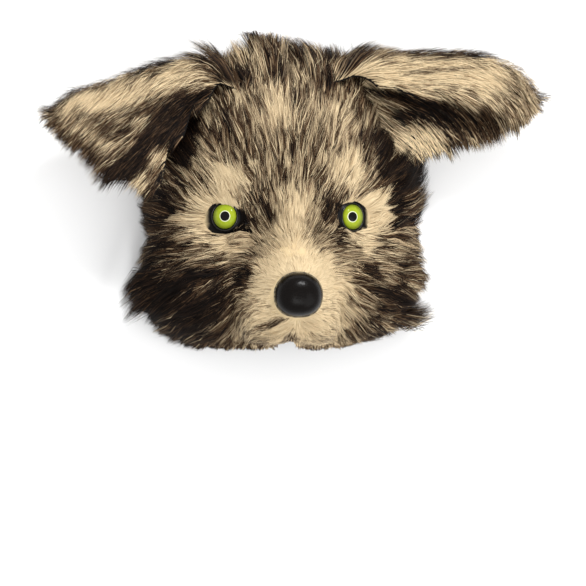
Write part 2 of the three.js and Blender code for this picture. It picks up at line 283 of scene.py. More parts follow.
@dataclass(frozen=True)
class HeadForm:
    """The soft union of ellipsoids that the shell and the fur follow."""

    heart: Triple = (0.0, -5.0, 0.0)
    reach: float = 190.0
    blend: float = 15.0
    lumps: tuple[Lump, ...] = (
        Lump("skull", (0.0, 19.0, 0.0), (99.0, 105.0, 96.0)),
        Lump("jowls", (0.0, -50.0, 0.0), (96.0, 68.0, 74.0)),
        Lump("brow", (0.0, 30.0, 48.0), (64.0, 42.0, 46.0)),
        Lump("cheek", (54.0, -42.0, 30.0), (44.0, 48.0, 48.0), twin=True),
        Lump("bridge", (0.0, -20.0, 70.0), (17.0, 44.0, 38.0)),
        Lump("muzzle root", (0.0, -56.0, 48.0), (47.0, 48.0, 54.0)),
        Lump("muzzle", (0.0, -62.0, 84.0), (27.0, 32.0, 56.0)),
        Lump("lip", (14.0, -80.0, 86.0), (19.0, 20.0, 34.0), twin=True),
    )

    def measure(self, points: Array) -> tuple[Array, Array]:
        """Find how far points stand off the moulded surface, and the way that it looks there.

        A lump's own distance is near times (near less one) over steep, where near is the point's distance in
        radii and steep the length of its slope. The union is minus a quarter of the blend times the
        logarithm of the sum of e to the minus four distances over the blend.

        Args:
            points: Places, shaped (count, 3).

        Returns:
            Distances, negative inside, and unit vectors that point outwards.
        """
        sides = [(lump, side) for lump in self.lumps for side in ((1, -1) if lump.twin else (1,))]
        centres = np.array([(side * lump.centre[0], *lump.centre[1:]) for lump, side in sides])
        radii = np.array([lump.radii for lump, _ in sides])
        offset = points[:, None, :] - centres
        near = length_of(offset / radii)
        slope = offset / radii**2
        steep = np.maximum(length_of(slope), 1e-9)
        distance = near * (near - 1.0) / steep
        closest = distance.min(axis=1)
        pull = np.exp(-4.0 * (distance - closest[:, None]) / self.blend)
        height = closest - self.blend / 4.0 * np.log(pull.sum(axis=1))
        outward = unit(np.einsum("ij,ijk->ik", pull / steep, slope))
        return height, outward

    def lifted(self, points: Array, height: Array, rounds: int = 2) -> tuple[Array, Array]:
        """Move points straight out or in until they stand at a height over the moulded surface."""
        outward = points
        for _ in range(rounds):
            found, outward = self.measure(points)
            points = points - outward * (found - height)[:, None]
        return points, outward

    def sheet(self, columns: int, rows: int, lowest: float) -> Array:
        """A grid of points on the moulded surface, from the middle of the face to an angle from it.

        Each point is found by walking in from outside along its ray to the heart, by the distance left.

        Args:
            columns: Steps round the face.
            rows: Steps from the middle of the face.
            lowest: Last angle from the middle, in degrees.

        Returns:
            Points shaped (rows, columns, 3).
        """
        angles = np.radians(np.linspace(0.5, lowest, rows))
        around, down = np.meshgrid(np.linspace(0.0, 2.0 * np.pi, columns), angles)
        flat = np.sin(down)
        rays = np.stack([flat * np.cos(around), flat * np.sin(around), np.cos(down)], axis=-1).reshape(-1, 3)
        reach = np.full(len(rays), self.reach)
        for _ in range(28):
            found, _ = self.measure(np.array(self.heart) + rays * reach[:, None])
            reach = reach - 0.85 * found
        return (np.array(self.heart) + rays * reach[:, None]).reshape(rows, columns, 3)


HEAD = HeadForm()


# The openings and the depth of the fur


@dataclass(frozen=True)
class Eye:
    """Sizes that both eyes share."""

    x: float = 52.0
    radius: float = 10.2
    dome: float = 5.2
    rim: float = 1.3
    outward: float = 31.0
    lift: float = 0.5
    opening_outer: float = 16.0
    opening_inner: float = 29.0
    opening_height: float = 14.5
    corner_narrowing: float = 0.45
    slant: float = 13.0
    bare_drop: float = 2.2
    front: float = 40.0

    def opening_share(self, points: Array) -> Array:
        """How far out a point is in the nearer eye's almond opening: under 1 inside, 1 on its edge.

        Args:
            points: Places, shaped (..., 3).

        Returns:
            The root of the sum of two squares: length over half length, and height over half height.
        """
        slant = math.radians(self.slant)
        sideways = np.abs(points[..., 0]) - self.x
        u = sideways * math.cos(slant) + points[..., 1] * math.sin(slant)
        v = points[..., 1] * math.cos(slant) - sideways * math.sin(slant)
        inward = np.where(u < 0, 1.0 / (1.0 + (v / 12.0) ** 2 / np.maximum((u / 25.0) ** 2, 1e-6)), 0.0)
        half_length = self.opening_outer + (self.opening_inner - self.opening_outer) * inward
        half_height = self.opening_height * (1.0 - self.corner_narrowing * inward)
        return np.hypot(u / half_length, v / half_height)

    def bare_share(self, points: Array) -> Array:
        """How far out a point is in the part of the opening that hairs leave bare: under 1 inside.

        On the left it lies lower, so that a black crescent shows below the eye; on the right it is smaller.
        Towards the bridge it ends before the opening does.

        Args:
            points: Places, shaped (..., 3).

        Returns:
            The root of the sum of two squares, after moving to the zone's own middle.
        """
        left = points[..., 0] < 0
        sideways = np.abs(points[..., 0]) - self.x - 0.8
        up = points[..., 1] + np.where(left, self.bare_drop, -0.6)
        half_length = np.where(sideways > 0, np.where(left, 15.6, 13.6), np.where(left, 19.0, 15.0))
        inner_height = np.where(left & (up > 0), 0.72, 0.92)
        half_height = np.where(left, 13.6, 12.6) * np.where(sideways > 0, 1.0, inner_height)
        return np.hypot(sideways / half_length, up / half_height)

    def seat(self, side: int) -> Array:
        """The point of the moulded surface behind an eye."""
        point = np.array([[side * self.x, 0.0, HEAD.reach]])
        for _ in range(60):
            found, _ = HEAD.measure(point)
            point[0, 2] -= 0.8 * found[0]
        return point[0]

    def revolved(self, side: int, radius: Array, height: Array, columns: int) -> tuple[Array, Array, Array]:
        """Turn a profile about the outward line of one eye.

        Args:
            side: -1 for the picture's left eye and 1 for its right eye.
            radius: Distances of the profile's points from the line.
            height: Their heights along it.
            columns: Steps of the turn.

        Returns:
            Points shaped (rows, columns, 3), and the angle and the row of each.
        """
        angle, row = np.meshgrid(turn_steps(columns), np.arange(len(radius)))
        local = np.stack([radius[row] * np.cos(angle), radius[row] * np.sin(angle), height[row]], axis=-1)
        return local @ self.turn(side).T + self.seat(side), angle, row

    def turn(self, side: int) -> Array:
        """The matrix whose columns are an eye's own right, up and outward line."""
        angle = math.radians(side * self.outward)
        cosine, sine = math.cos(angle), math.sin(angle)
        return np.array([[cosine, 0.0, sine], [0.0, 1.0, 0.0], [-sine, 0.0, cosine]])


EYE = Eye()


@dataclass(frozen=True)
class Nose:
    """Sizes of the nose pad."""

    centre: Triple = (0.0, -64.0, 141.0)
    half_width: float = 18.7
    half_height: float = 17.3
    rise: float = 14.5
    squareness: float = 2.3
    top_taper: float = 0.13

    def hole_share(self, points: Array) -> Array:
        """How far out a point is from the nose's middle, seen from the front: 1 on its outline."""
        x = points[..., 0] / self.half_width
        y = (points[..., 1] - self.centre[1]) / self.half_height
        return np.where(points[..., 2] > 100.0, np.hypot(x, y), 9.0)

    def pad(self, columns: int, rows: int, first: float, last: float, grow: float = 0.0) -> Array:
        """A grid on the rounded pad: a superellipse that is a little narrower above its middle.

        Args:
            columns: Steps round the pad.
            rows: Steps from its front to its back.
            first: Angle of the first ring from the front, in degrees.
            last: Angle of the last ring.
            grow: How far the pad is grown outwards.

        Returns:
            Points shaped (rows, columns, 3).
        """
        turn, down = np.meshgrid(turn_steps(columns), np.radians(np.linspace(first, last, rows)))
        c, s = np.cos(turn), np.sin(turn)
        square = (np.abs(c) ** self.squareness + np.abs(s) ** self.squareness) ** (-1.0 / self.squareness)
        flat = np.sin(down) ** 0.8 * square
        taper = 1.0 - self.top_taper * np.maximum(0.0, s) ** 2
        x = self.centre[0] + (self.half_width + grow) * flat * c * taper
        y = self.centre[1] + (self.half_height + grow) * flat * s
        z = self.centre[2] + (self.rise + grow) * np.cos(down)
        return np.stack([x, y, z], axis=-1)


NOSE = Nose()


@dataclass(frozen=True)
class Coat:
    """How deep and how long the fur is, and which way it lies, at each place on the head."""

    general: float = 12.0
    cheeks: float = 15.0
    muzzle: float = 4.0
    eyes: float = 5.0
    skin_share: float = 0.3
    lock_lift: float = 8.0
    short_hair: float = 12.0
    bridge_hair: float = 14.0
    growth_outwards: float = 16.0
    cheek_growth: float = 6.0
    crown_growth: float = 12.0
    side_growth: float = 4.0
    muzzle_reach: float = 46.0
    eye_reach: float = 26.0
    cheek_reach: float = 48.0
    crown_reach: float = 92.0
    fringe_lowest: float = -102.0
    fringe_notch: float = 5.0
    cheek_rise: float = 24.0
    crown_peaks: tuple[Pair, ...] = (
        *((-75, 9), (-56, 11), (-42, 24), (-32, 12), (-22, 28), (-10, 46), (2, 12)),
        *((12, 10), (22, 20), (34, 22), (46, 38), (62, 23), (78, 15), (92, 8)),
    )
    left_peaks: tuple[Pair, ...] = (
        *((-84, 8), (-76, 11), (-64, 5), (-46, 27), (-34, 7), (-14, 4), (10, 6), (24, 12)),
    )
    right_peaks: tuple[Pair, ...] = (
        *((-88, 2), (-83, 8), (-79, 46), (-74, 3), (-58, 5), (-46, 15)),
        *((-33, 6), (-19, 13), (-9, 8), (5, 18), (17, 20), (26, 24), (40, 6)),
    )
    bridge_source: Triple = (0.0, -38.0, 95.0)
    nose_source: Triple = (0.0, -62.0, 146.0)
    length_source: Triple = (0.0, -30.0, 105.0)

    def muzzle_share(self, points: Array) -> Array:
        """1 on the muzzle, falling to 0 on the cheeks: a bell round its axis times a rise with height."""
        x, y, z = axes_of(points)
        return bell(np.hypot(x, (y + 60.0) / 1.1), self.muzzle_reach) * smooth(40.0, 80.0, z)

    def eye_share(self, points: Array) -> Array:
        """1 round the eyes, falling to 0 away from them."""
        x, y, z = axes_of(points)
        return bell(np.hypot(np.abs(x) - EYE.x + 6.0, y * 1.3), self.eye_reach) * smooth(30.0, 70.0, z)

    def cheek_share(self, points: Array) -> Array:
        """1 on the sides of the jaw, falling to 0 away from them."""
        x, y, _ = axes_of(points)
        return bell(np.hypot((np.abs(x) - 95.0) / 1.2, y + 55.0), self.cheek_reach)

    def depth(self, points: Array) -> Array:
        """How high the fur stands over the moulded form: higher on the cheeks and lower in front."""
        deep = self.general + (self.cheeks - self.general) * self.cheek_share(points)
        short = (self.general - self.muzzle) * self.muzzle_share(points)
        short = short + (self.general - self.eyes) * self.eye_share(points)
        return np.maximum(self.muzzle, deep - short)

    def crown_share(self, points: Array) -> Array:
        """1 along the crown, where the fur stands up in tufts, falling to 0 below it."""
        x, y, z = axes_of(points)
        top = 19.0 + 105.0 * np.sqrt(1.0 - np.minimum(np.abs(x) / 108.0, 0.95) ** 2)
        return smooth(-44.0, -6.0, y - top) * bell(x, self.crown_reach) * smooth(2.0, 24.0, z)

    def crown_lift(self, points: Array) -> Array:
        """How far the crown's tufts stand up: a row of peaks from left to right, as in the picture."""
        return self.crown_share(points) * along_stations(self.crown_peaks, points[..., 0])

    def skin(self, points: Array) -> Array:
        """How high the backing of the fur stands over the moulded form."""
        on_cloth = 0.6 + 0.4 * smooth(0.8, 1.02, EYE.opening_share(points))
        return self.skin_share * self.depth(points) * np.where(points[..., 2] > EYE.front, on_cloth, 1.0)

    def hair_length(self, points: Array) -> Array:
        """Length of the hairs: short on the muzzle and longer outwards, most on the cheeks and the crown."""
        from_bridge = length_of(points - np.array(self.length_source))
        length = self.bridge_hair + self.growth_outwards * smooth(15.0, 110.0, from_bridge)
        length = length + self.cheek_growth * self.cheek_share(points)
        length = length + self.crown_growth * self.crown_share(points)
        length = length + self.side_growth * self.side_share(points)
        length = length + (self.short_hair - length) * smooth(0.25, 0.75, self.muzzle_share(points))
        return length + (self.short_hair - length) * smooth(0.35, 0.9, self.eye_share(points))

    def side_share(self, points: Array) -> Array:
        """1 along the sides of the face, where pointed locks stand off it, and 0 inwards and at the ears."""
        x, y, z = axes_of(points)
        upwards = np.where(x < 0, smooth(46.0, 26.0, y), smooth(56.0, 38.0, y))
        return smooth(60.0, 90.0, np.abs(x)) * upwards * smooth(4.0, 20.0, z)

    def side_lift(self, points: Array) -> Array:
        """How far the locks of the sides stand off: a row of peaks down each side, as in the picture."""
        left = along_stations(self.left_peaks, points[..., 1])
        right = along_stations(self.right_peaks, points[..., 1])
        return self.side_share(points) * np.where(points[..., 0] < 0, left, right)

    def lines(self, points: Array) -> tuple[Array, Array]:
        """Distances along and across the hairs' lie: those from the bridge, and 70 times the ray's angle."""
        x, y = points[..., 0], points[..., 1] - self.bridge_source[1]
        return np.hypot(x, y), 70.0 * np.arctan2(x, y)

    def comb(self, points: Array, outward: Array) -> Array:
        """The way the hairs lie along the surface.

        They run away from the bridge, and on the muzzle away from the nose; they part under the nose, turn
        aside at the eyes and sag on the cheeks.

        Args:
            points: Places, shaped (count, 3).
            outward: The way the surface looks at each.

        Returns:
            Unit vectors along the surface.
        """
        x, y, z = axes_of(points)
        muzzle = smooth(0.15, 0.6, self.muzzle_share(points))[:, None]
        lie = unit(points - np.array(self.bridge_source)) * (1.0 - muzzle)
        lie = lie + unit(points - np.array(self.nose_source)) * muzzle
        lip = bell(np.hypot(x * 0.7, y + 92.0), 20.0) * smooth(60.0, 100.0, z)
        lie[:, 0] += 1.6 * lip * np.tanh(x / 3.0)
        cheek = smooth(25.0, -45.0, y) * smooth(22.0, 60.0, np.abs(x))
        lie[:, 1] -= cheek * np.where(x < 0, 0.16 + 0.14 * smooth(-95.0, -50.0, y), 0.12)
        lie[:, 1] += 0.4 * smooth(66.0, 90.0, x) * smooth(-66.0, -78.0, y)
        for side in (-1, 1):
            away = points - np.array([side * EYE.x, 0.0, 84.0])
            lie = lie + unit(away) * (1.1 * bell(length_of(away), 24.0))[:, None]
        return unit(across(lie, outward))

    def lower_edge(self, points: Array) -> Array:
        """Height of the fur's lower edge, with the rise on the cheeks and the notch under the nose."""
        x = points[..., 0]
        rise = self.cheek_rise * smooth(50.0, 120.0, np.abs(x))
        return self.fringe_lowest + self.fringe_notch * bell(x, 9.0) + rise


COAT = Coat()


# Tones of the fur


@dataclass(frozen=True)
class Patch:
    """A soft-edged oval of the front view in which the fur has its own tone: 0 all cream, 1 all dark."""

    place: str
    x: float
    y: float
    wide: float
    high: float
    tone: float
    tilt: float = 0.0


def toned(patches: Sequence[Patch], seen: Array, start: Array) -> Array:
    """Lay patches over a starting tone, each taking its share of what lies below it.

    A patch's share is e to the minus fourth power of the distance from its middle, measured in its own
    half width and half height, after turning by its tilt.

    Args:
        patches: The patches, lowest first.
        seen: Places across and down the front view.
        start: The tone before any patch.

    Returns:
        The tone at each place.
    """
    tone = start.copy()
    for patch in patches:
        turn = math.radians(patch.tilt)
        right, down = seen[:, 0] - patch.x, seen[:, 1] - patch.y
        u = (right * math.cos(turn) + down * math.sin(turn)) / patch.wide
        v = (down * math.cos(turn) - right * math.sin(turn)) / patch.high
        tone = tone + (patch.tone - tone) * np.exp(-((u * u + v * v) ** 2))
    return tone


HEAD_PATCHES = (
    Patch("forehead", 290, 130, 75, 60, 0.49),
    Patch("crown", 300, 50, 95, 26, 0.56),
    Patch("left temple", 203, 130, 36, 32, 0.5),
    # partly painted shadow: beside the left lobe the fur is made nearly black, for dark fur and the shadow
    # under the left ear
    Patch("beside the left lobe", 186, 138, 13, 36, 0.98, 18),
    Patch("left temple lower", 160, 198, 14, 16, 0.9),
    Patch("right temple", 398, 150, 38, 50, 0.9),
    # partly painted shadow: under the right ear the fur is darkened for dark fur and the shadow below the
    # ear's crease
    Patch("under the right ear", 392, 104, 34, 12, 0.92, 25),
    Patch("forehead light wedge", 274, 104, 17, 27, 0.24, -8),
    Patch("forehead light right", 335, 105, 18, 22, 0.38),
    Patch("streak beside the wedge", 256, 100, 5, 26, 0.68, -38),
    Patch("centre line", 294, 143, 4, 17, 0.8),
    Patch("right of the crown", 369, 114, 13, 24, 0.68, 10),
    Patch("left streaks", 220, 132, 15, 20, 0.68),
    Patch("tuft left of the middle", 244, 67, 9, 12, 0.74),
    Patch("tuft in the middle", 269, 44, 9, 14, 0.78),
    Patch("tuft right of the middle", 340, 56, 16, 12, 0.76),
    Patch("bridge", 293, 226, 25, 52, 0.15),
    Patch("left brow", 225, 177, 20, 17, 0.12, -35),
    Patch("right brow", 352, 170, 23, 22, 0.14, 30),
    Patch("round the left eye", 223, 217, 32, 30, 0.13),
    Patch("round the right eye", 357, 220, 25, 26, 0.14),
    Patch("left corner", 248, 221, 12, 9, 0.92, 10),
    Patch("streak above the left corner", 263, 205, 5, 22, 0.84, -35),
    Patch("streak by the bridge", 282, 176, 8, 9, 0.6),
    Patch("streak above the right corner", 328, 182, 4, 14, 0.5, 12),
    Patch("right corner", 334, 211, 9, 14, 0.84, 15),
    Patch("left cheek", 190, 290, 44, 56, 0.8),
    Patch("left cheek dark middle", 194, 306, 34, 34, 0.9),
    Patch("left cheek outer", 142, 297, 24, 34, 0.94),
    Patch("left side band", 157, 224, 13, 38, 0.8),
    Patch("brown lock on the left cheek", 203, 286, 22, 6, 0.66, -35),
    Patch("left eye's outer light", 193, 213, 15, 30, 0.2),
    Patch("tan above the left corner", 242, 202, 9, 7, 0.42),
    Patch("left eye's lower light", 214, 245, 24, 8, 0.1, 12),
    Patch("left tan", 204, 259, 26, 9, 0.6),
    Patch("streak from the left eye", 208, 245, 10, 3, 0.65),
    Patch("right cheek", 388, 285, 42, 58, 0.6),
    Patch("right edge high", 416, 186, 20, 18, 0.82),
    Patch("right edge", 406, 214, 10, 14, 0.76),
    Patch("right eye's outer light", 382, 205, 15, 23, 0.06),
    Patch("right eye's lower light", 369, 243, 10, 18, 0.14, 15),
    Patch("right inner streak", 341, 243, 7, 15, 0.8),
    Patch("right cheek dark high", 376, 270, 12, 8, 0.76),
    Patch("right cheek dark middle", 397, 298, 20, 13, 0.8),
    Patch("right cheek light low", 392, 318, 20, 6, 0.5, -12),
    Patch("right cheek dark low", 366, 329, 22, 12, 0.76),
    Patch("muzzle", 299, 282, 59, 40, 0.02),
    Patch("muzzle low", 296, 322, 60, 24, 0.08),
    Patch("left muzzle diagonal", 243, 275, 8, 16, 0.82, 25),
    Patch("lip streak", 266, 326, 26, 4, 0.62, -20),
    Patch("under the nose", 292, 338, 10, 5, 0.5),
)

LEFT_EAR_PATCHES = (
    Patch("whole ear", 115, 110, 95, 80, 0.55),
    Patch("top edge", 150, 63, 55, 5, 0.85, -16),
    Patch("top edge to the tip", 72, 92, 38, 5, 0.85, -30),
    Patch("upper light", 182, 80, 36, 18, 0.16, -15),
    Patch("smooth middle", 126, 92, 34, 13, 0.24, -22),
    Patch("streak near the fold", 152, 71, 14, 4, 0.6, -20),
    Patch("light by the tip", 84, 104, 24, 12, 0.08, -12),
    Patch("brown middle", 110, 127, 44, 10, 0.66, 24),
    Patch("light strip in the lower half", 96, 140, 20, 5, 0.3, 34),
    Patch("lower fringe", 80, 150, 42, 12, 0.78, 36),
    Patch("corner", 112, 178, 14, 20, 0.93, 20),
    # painted shadow: the diagonal band is dark fur with the shadow between the ear and the head painted in,
    # and the inner shadow is painted shadow too
    Patch("diagonal band", 155, 138, 56, 14, 1.04, -51),
    Patch("inner shadow", 184, 126, 34, 36, 1.04, -40),
    Patch("round the lobe", 164, 176, 24, 32, 0.86),
    Patch("inner lobe", 156, 161, 8, 11, 0.36),
    Patch("strands under the lobe", 140, 184, 15, 7, 0.35, -35),
    Patch("fold by the head", 207, 99, 16, 11, 0.9, -20),
    Patch("where the ear leaves the head", 224, 70, 25, 26, 0.76, 20),
    Patch("dark wisps over it", 206, 56, 14, 8, 0.85, -30),
)

RIGHT_EAR_PATCHES = (
    Patch("whole ear", 450, 90, 90, 70, 0.34),
    Patch("top fringe", 455, 52, 80, 6, 0.84, 2),
    Patch("long light strip", 437, 75, 76, 13, 0.17, 4),
    Patch("light by the fold", 372, 78, 30, 12, 0.1, 20),
    Patch("thin streaks", 440, 70, 40, 3, 0.5, -4),
    Patch("tip", 526, 95, 22, 20, 0.5),
    Patch("tip edge", 545, 100, 7, 18, 0.8),
    # painted shadow: the crease is dark fur with the flap's shadow painted along it, and under the flap and
    # under the tip the fur is darkened by painted shade below the overhanging flap
    Patch("crease", 412, 100, 66, 6, 0.96, 12),
    Patch("under the flap", 428, 120, 46, 15, 0.93, 8),
    Patch("under the tip", 484, 124, 24, 18, 0.78, 10),
    Patch("inner light", 424, 145, 20, 19, 0.16, 20),
    Patch("dark tuft", 459, 148, 11, 10, 0.85),
    Patch("light low", 450, 162, 16, 7, 0.3),
    Patch("where the ear leaves the head", 346, 64, 20, 24, 0.66, 10),
    Patch("dark wisps over it", 360, 50, 16, 8, 0.8, 10),
)


def unevenness(dark: Array) -> Array:
    """How much a place's tone may vary: none in pure cream, most half way, a little less in the dark."""
    return np.where(dark < 0.5, 4.0 * dark * (1.0 - dark), 1.0 - 0.3 * (2.0 * dark - 1.0) ** 2)


# Hairs


@dataclass
class Hairs:
    """Many hairs as arrays: paths (count, points, 3), the flat way across each, tones, hues and widths."""

    paths: Array
    sideways: Array
    tones: Array
    hues: Array
    widths: Array

    def chosen(self, keep: Array) -> "Hairs":
        """Only the hairs that a mask keeps."""
        return Hairs(*(getattr(self, item.name)[keep] for item in fields(self)))

    def within_reach(self) -> "Hairs":
        """Lift points out of the floor and push them outwards for it, and bend back the tallest."""
        high = np.maximum(0.0, self.paths[..., 1] - SOFT_TOP)
        self.paths[..., 1] += (TOP - SOFT_TOP) * np.tanh(high / (TOP - SOFT_TOP)) - high
        low = FLOOR_GAP + 1.2 * self.tones[:, None]
        sunk = np.maximum(0.0, low - self.paths[..., 2])
        outward = self.paths[..., :2] - np.array([0.0, -10.0])
        outward = outward / np.maximum(np.linalg.norm(outward, axis=-1, keepdims=True), 1e-6)
        self.paths[..., :2] += outward * (0.7 * sunk)[..., None]
        self.paths[..., 2] += sunk
        return self


class HueBand(Enum):
    """The bands of the fur's colour map, from the bottom up."""

    PALE = 0
    WARM = 1
    TAN = 2
    GREY = 3


def ribbon_sides(paths: Array, outward: Array, twist: Array) -> Array:
    """Find the flat way across each hair: along the surface and square to the hair, then turned about it.

    Args:
        paths: Hair paths, shaped (count, points, 3).
        outward: The way the surface looks at each point.
        twist: The turn of each hair about its own run, in radians.

    Returns:
        Unit vectors, shaped as the paths.
    """
    forward = unit(np.gradient(paths, axis=1))
    return turned(unit(np.cross(forward, outward)), forward, twist[:, None])


def hair_mesh(name: str, hairs: Hairs, finish: "Finish") -> bpy.types.Object:
    """Make one mesh of flat tapering ribbons, each a strip of quads that ends in a triangle.

    The half width falls as one less 0.7 of the squared share of the length. The map holds the hair's tone
    across and, within the band of its hue, its length upwards.

    Args:
        name: Name of the piece.
        hairs: The hairs.
        finish: Their finish.

    Returns:
        The new object.
    """
    count, points = hairs.paths.shape[:2]
    share = np.linspace(0.0, 1.0, points)
    half = hairs.widths[:, None] / 2.0 * (1.0 - 0.7 * share[None, :-1] ** 2)
    lean = hairs.sideways[:, :-1] * half[..., None]
    pairs = np.stack([hairs.paths[:, :-1] - lean, hairs.paths[:, :-1] + lean], axis=2)
    places = np.concatenate([pairs.reshape(count, -1, 3), hairs.paths[:, -1:]], axis=1)
    per_hair = places.shape[1]

    quads = 2 * np.arange(points - 2)[:, None] + np.array([0, 1, 3, 2])
    corners = np.append(quads, 2 * points - 4 + np.arange(3))
    loops = (np.arange(count)[:, None] * per_hair + corners).ravel()
    loop_starts = (np.arange(count)[:, None] * len(corners) + 4 * np.arange(points - 1)).ravel()

    tone_at = np.append(np.tile([-0.004, 0.004], points - 1), 0.0)
    share_at = np.append(np.repeat(share[:-1], 2), 1.0)
    u = np.clip(hairs.tones, 0.01, 0.99)[:, None] + tone_at
    v = (hairs.hues[:, None] + 0.04 + 0.92 * share_at) / len(HueBand)
    chart = np.stack([u[:, corners], v[:, corners]], axis=-1).reshape(-1, 2)

    mesh = bpy.data.meshes.new(name)
    mesh.vertices.add(count * per_hair)
    mesh.vertices.foreach_set("co", PLACE.to_metres(places).astype(np.float32).ravel())
    mesh.loops.add(len(loops))
    mesh.loops.foreach_set("vertex_index", loops.astype(np.int32))
    mesh.polygons.add(len(loop_starts))
    mesh.polygons.foreach_set("loop_start", loop_starts.astype(np.int32))
    layer = mesh.uv_layers.new(name=CHART)
    layer.uv.foreach_set("vector", chart.astype(np.float32).ravel())
    mesh.update(calc_edges=True)
    mesh.shade_smooth()
    return placed(name, mesh, finish)


def hair_tones(dark: Array, wisp: Array, rng: Chance) -> Array:
    """Give each hair its tone by chance: a dark place has more hairs that turn dark early on their length.

    Args:
        dark: How dark each hair's place is, 0 to 1.
        wisp: A share that the hairs of one thin wisp have in common, so that they tend to match.
        rng: Source of chance.

    Returns:
        Tones: the share of the length at which a hair turns dark.
    """
    dark = np.clip(dark, 0.0, 1.0)
    chance = 0.5 * wisp + 0.5 * rng.random(len(dark))
    is_dark = chance < 0.04 + 1.06 * (dark - 0.04)
    early = 0.02 + 0.62 * rng.random(len(dark)) * np.maximum(0.0, 1.15 - dark)
    late = 0.84 + 0.16 * rng.random(len(dark)) - 0.12 * dark
    return np.where(is_dark, early, late)


def hair_hues(dark: Array, chance: Array) -> Array:
    """Choose each hair's band: pale where the fur is light, mixed in between, and black where it is darkest.

    Args:
        dark: How dark each hair's place is, 0 to 1.
        chance: A random share for each hair.

    Returns:
        The number of each hair's band.
    """
    mixed = smooth(0.06, 0.5, dark)
    deep = smooth(0.55, 0.95, dark)
    hue = np.full(len(dark), float(HueBand.GREY.value))
    for band, limit, less_mixed, less_deep in (
        (HueBand.TAN, 0.99, 0.29, 0.35),
        (HueBand.WARM, 0.95, 0.45, 0.35),
        (HueBand.PALE, 0.68, 0.46, 0.2),
    ):
        hue[chance < limit - less_mixed * mixed - less_deep * deep] = band.value
    return hue


def risen(share: Any) -> Any:
    """How far a hair has risen at a share of its length: one less the rest of the share to the power 1.7."""
    return 1.0 - (1.0 - share) ** 1.7


def shortened(paths: Array, axis: int, lowest: Array) -> Array:
    """Cut hairs where they pass below a line, by spacing their points over the part that is kept.

    Args:
        paths: Hair paths, shaped (count, points, 3).
        axis: Which of X, Y and Z the line limits.
        lowest: The least value that each hair may reach there.

    Returns:
        The paths, each at least a fifth of its length.
    """
    count, points = paths.shape[:2]
    fall = np.maximum(paths[:, 0, axis] - paths[..., axis].min(axis=1), 1e-3)
    kept = np.clip((paths[:, 0, axis] - lowest) / fall, 0.2, 1.0)
    place = kept[:, None] * np.arange(points)[None, :]
    before = np.minimum(place.astype(int), points - 2)
    share = (place - before)[..., None]
    row = np.arange(count)[:, None]
    return paths[row, before] * (1.0 - share) + paths[row, before + 1] * share


def grid_mesh(name: str, grid: Array, finish: "Finish", closed_ends: bool = True) -> bpy.types.Object:
    """Make a closed surface from rings of points; the first and last rings close on their middles.

    Args:
        name: Name of the piece.
        grid: Points shaped (rows, columns, 3), turning left as seen from outside when rows go down.
        finish: The finish.
        closed_ends: Whether the ends are closed.

    Returns:
        The new object.
    """
    rows, columns = grid.shape[:2]
    index = np.arange(rows * columns).reshape(rows, columns)
    beside = np.roll(index, -1, axis=1)
    quads = np.stack([index[:-1], index[1:], beside[1:], beside[:-1]], axis=-1).reshape(-1, 4)
    places = grid.reshape(-1, 3)
    faces = quads.tolist()
    if closed_ends:
        places = np.concatenate([places, grid[:1].mean(axis=1), grid[-1:].mean(axis=1)])
        first, last = rows * columns, rows * columns + 1
        faces += [[first, a, b] for a, b in zip(index[0].tolist(), beside[0].tolist())]
        faces += [[last, b, a] for a, b in zip(index[-1].tolist(), beside[-1].tolist())]
    mesh = bpy.data.meshes.new(name)
    mesh.from_pydata(PLACE.to_metres(places).tolist(), [], faces)
    mesh.shade_smooth()
    return placed(name, mesh, finish)


def added(name: str, data: bpy.types.ID) -> bpy.types.Object:
    """A new object of the scene that shows a mesh, a light or a camera."""
    made = bpy.data.objects.new(name, data)
    bpy.context.scene.collection.objects.link(made)
    return made


def placed(name: str, mesh: bpy.types.Mesh, finish: "Finish") -> bpy.types.Object:
    """Put a mesh into the scene with its finish, riding on the mask, and report it."""
    piece = added(name, mesh)
    mesh.materials.clear()
    mesh.materials.append(finish.material())
    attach(piece, "root")
    LOG.info("%s: %d faces", name, len(mesh.polygons))
    return piece


# Shader formulas


def by_math_node(operation: str, reflected: bool = False) -> Callable[["Value", Any], "Value"]:
    """An operator of Value that adds one Math node, with its numbers changed round where it is reflected."""

    def operator(this: "Value", other: Any) -> "Value":
        """Work on this number and another."""
        first, second = (other, this) if reflected else (this, other)
        return this.maths(operation, first, second)

    return operator


class Value:
    """A number that a node gives, which takes part in written formulas."""

    def __init__(self, sheet: "Sheet", socket: bpy.types.NodeSocket) -> None:
        """Keep the sheet that the node is on and the socket that gives the number."""
        self.sheet = sheet
        self.socket = socket

    def maths(self, operation: str, first: Any, second: Any = 0.0) -> "Value":
        """Add one Math node."""
        node = self.sheet.node("ShaderNodeMath", {"operation": operation}, {0: first, 1: second})
        return Value(self.sheet, node.outputs[0])

    __add__ = by_math_node("ADD")
    __radd__ = by_math_node("ADD", reflected=True)
    __sub__ = by_math_node("SUBTRACT")
    __rsub__ = by_math_node("SUBTRACT", reflected=True)
    __mul__ = by_math_node("MULTIPLY")
    __rmul__ = by_math_node("MULTIPLY", reflected=True)
    __pow__ = by_math_node("POWER")

    def fraction(self) -> "Value":
        """What is left after the whole part."""
        return self.maths("FRACT", self)

    def whole(self) -> "Value":
        """The whole part."""
        return self.maths("FLOOR", self)

    def step(self, low: float, high: float) -> "Value":
        """Rise smoothly from 0 where this number is low to 1 where it is high."""
        node = self.sheet.node(
            "ShaderNodeMapRange",
            {"interpolation_type": "SMOOTHSTEP"},
            {"Value": self, "From Min": low, "From Max": high, "To Min": 0.0, "To Max": 1.0},
        )
        return Value(self.sheet, node.outputs[0])


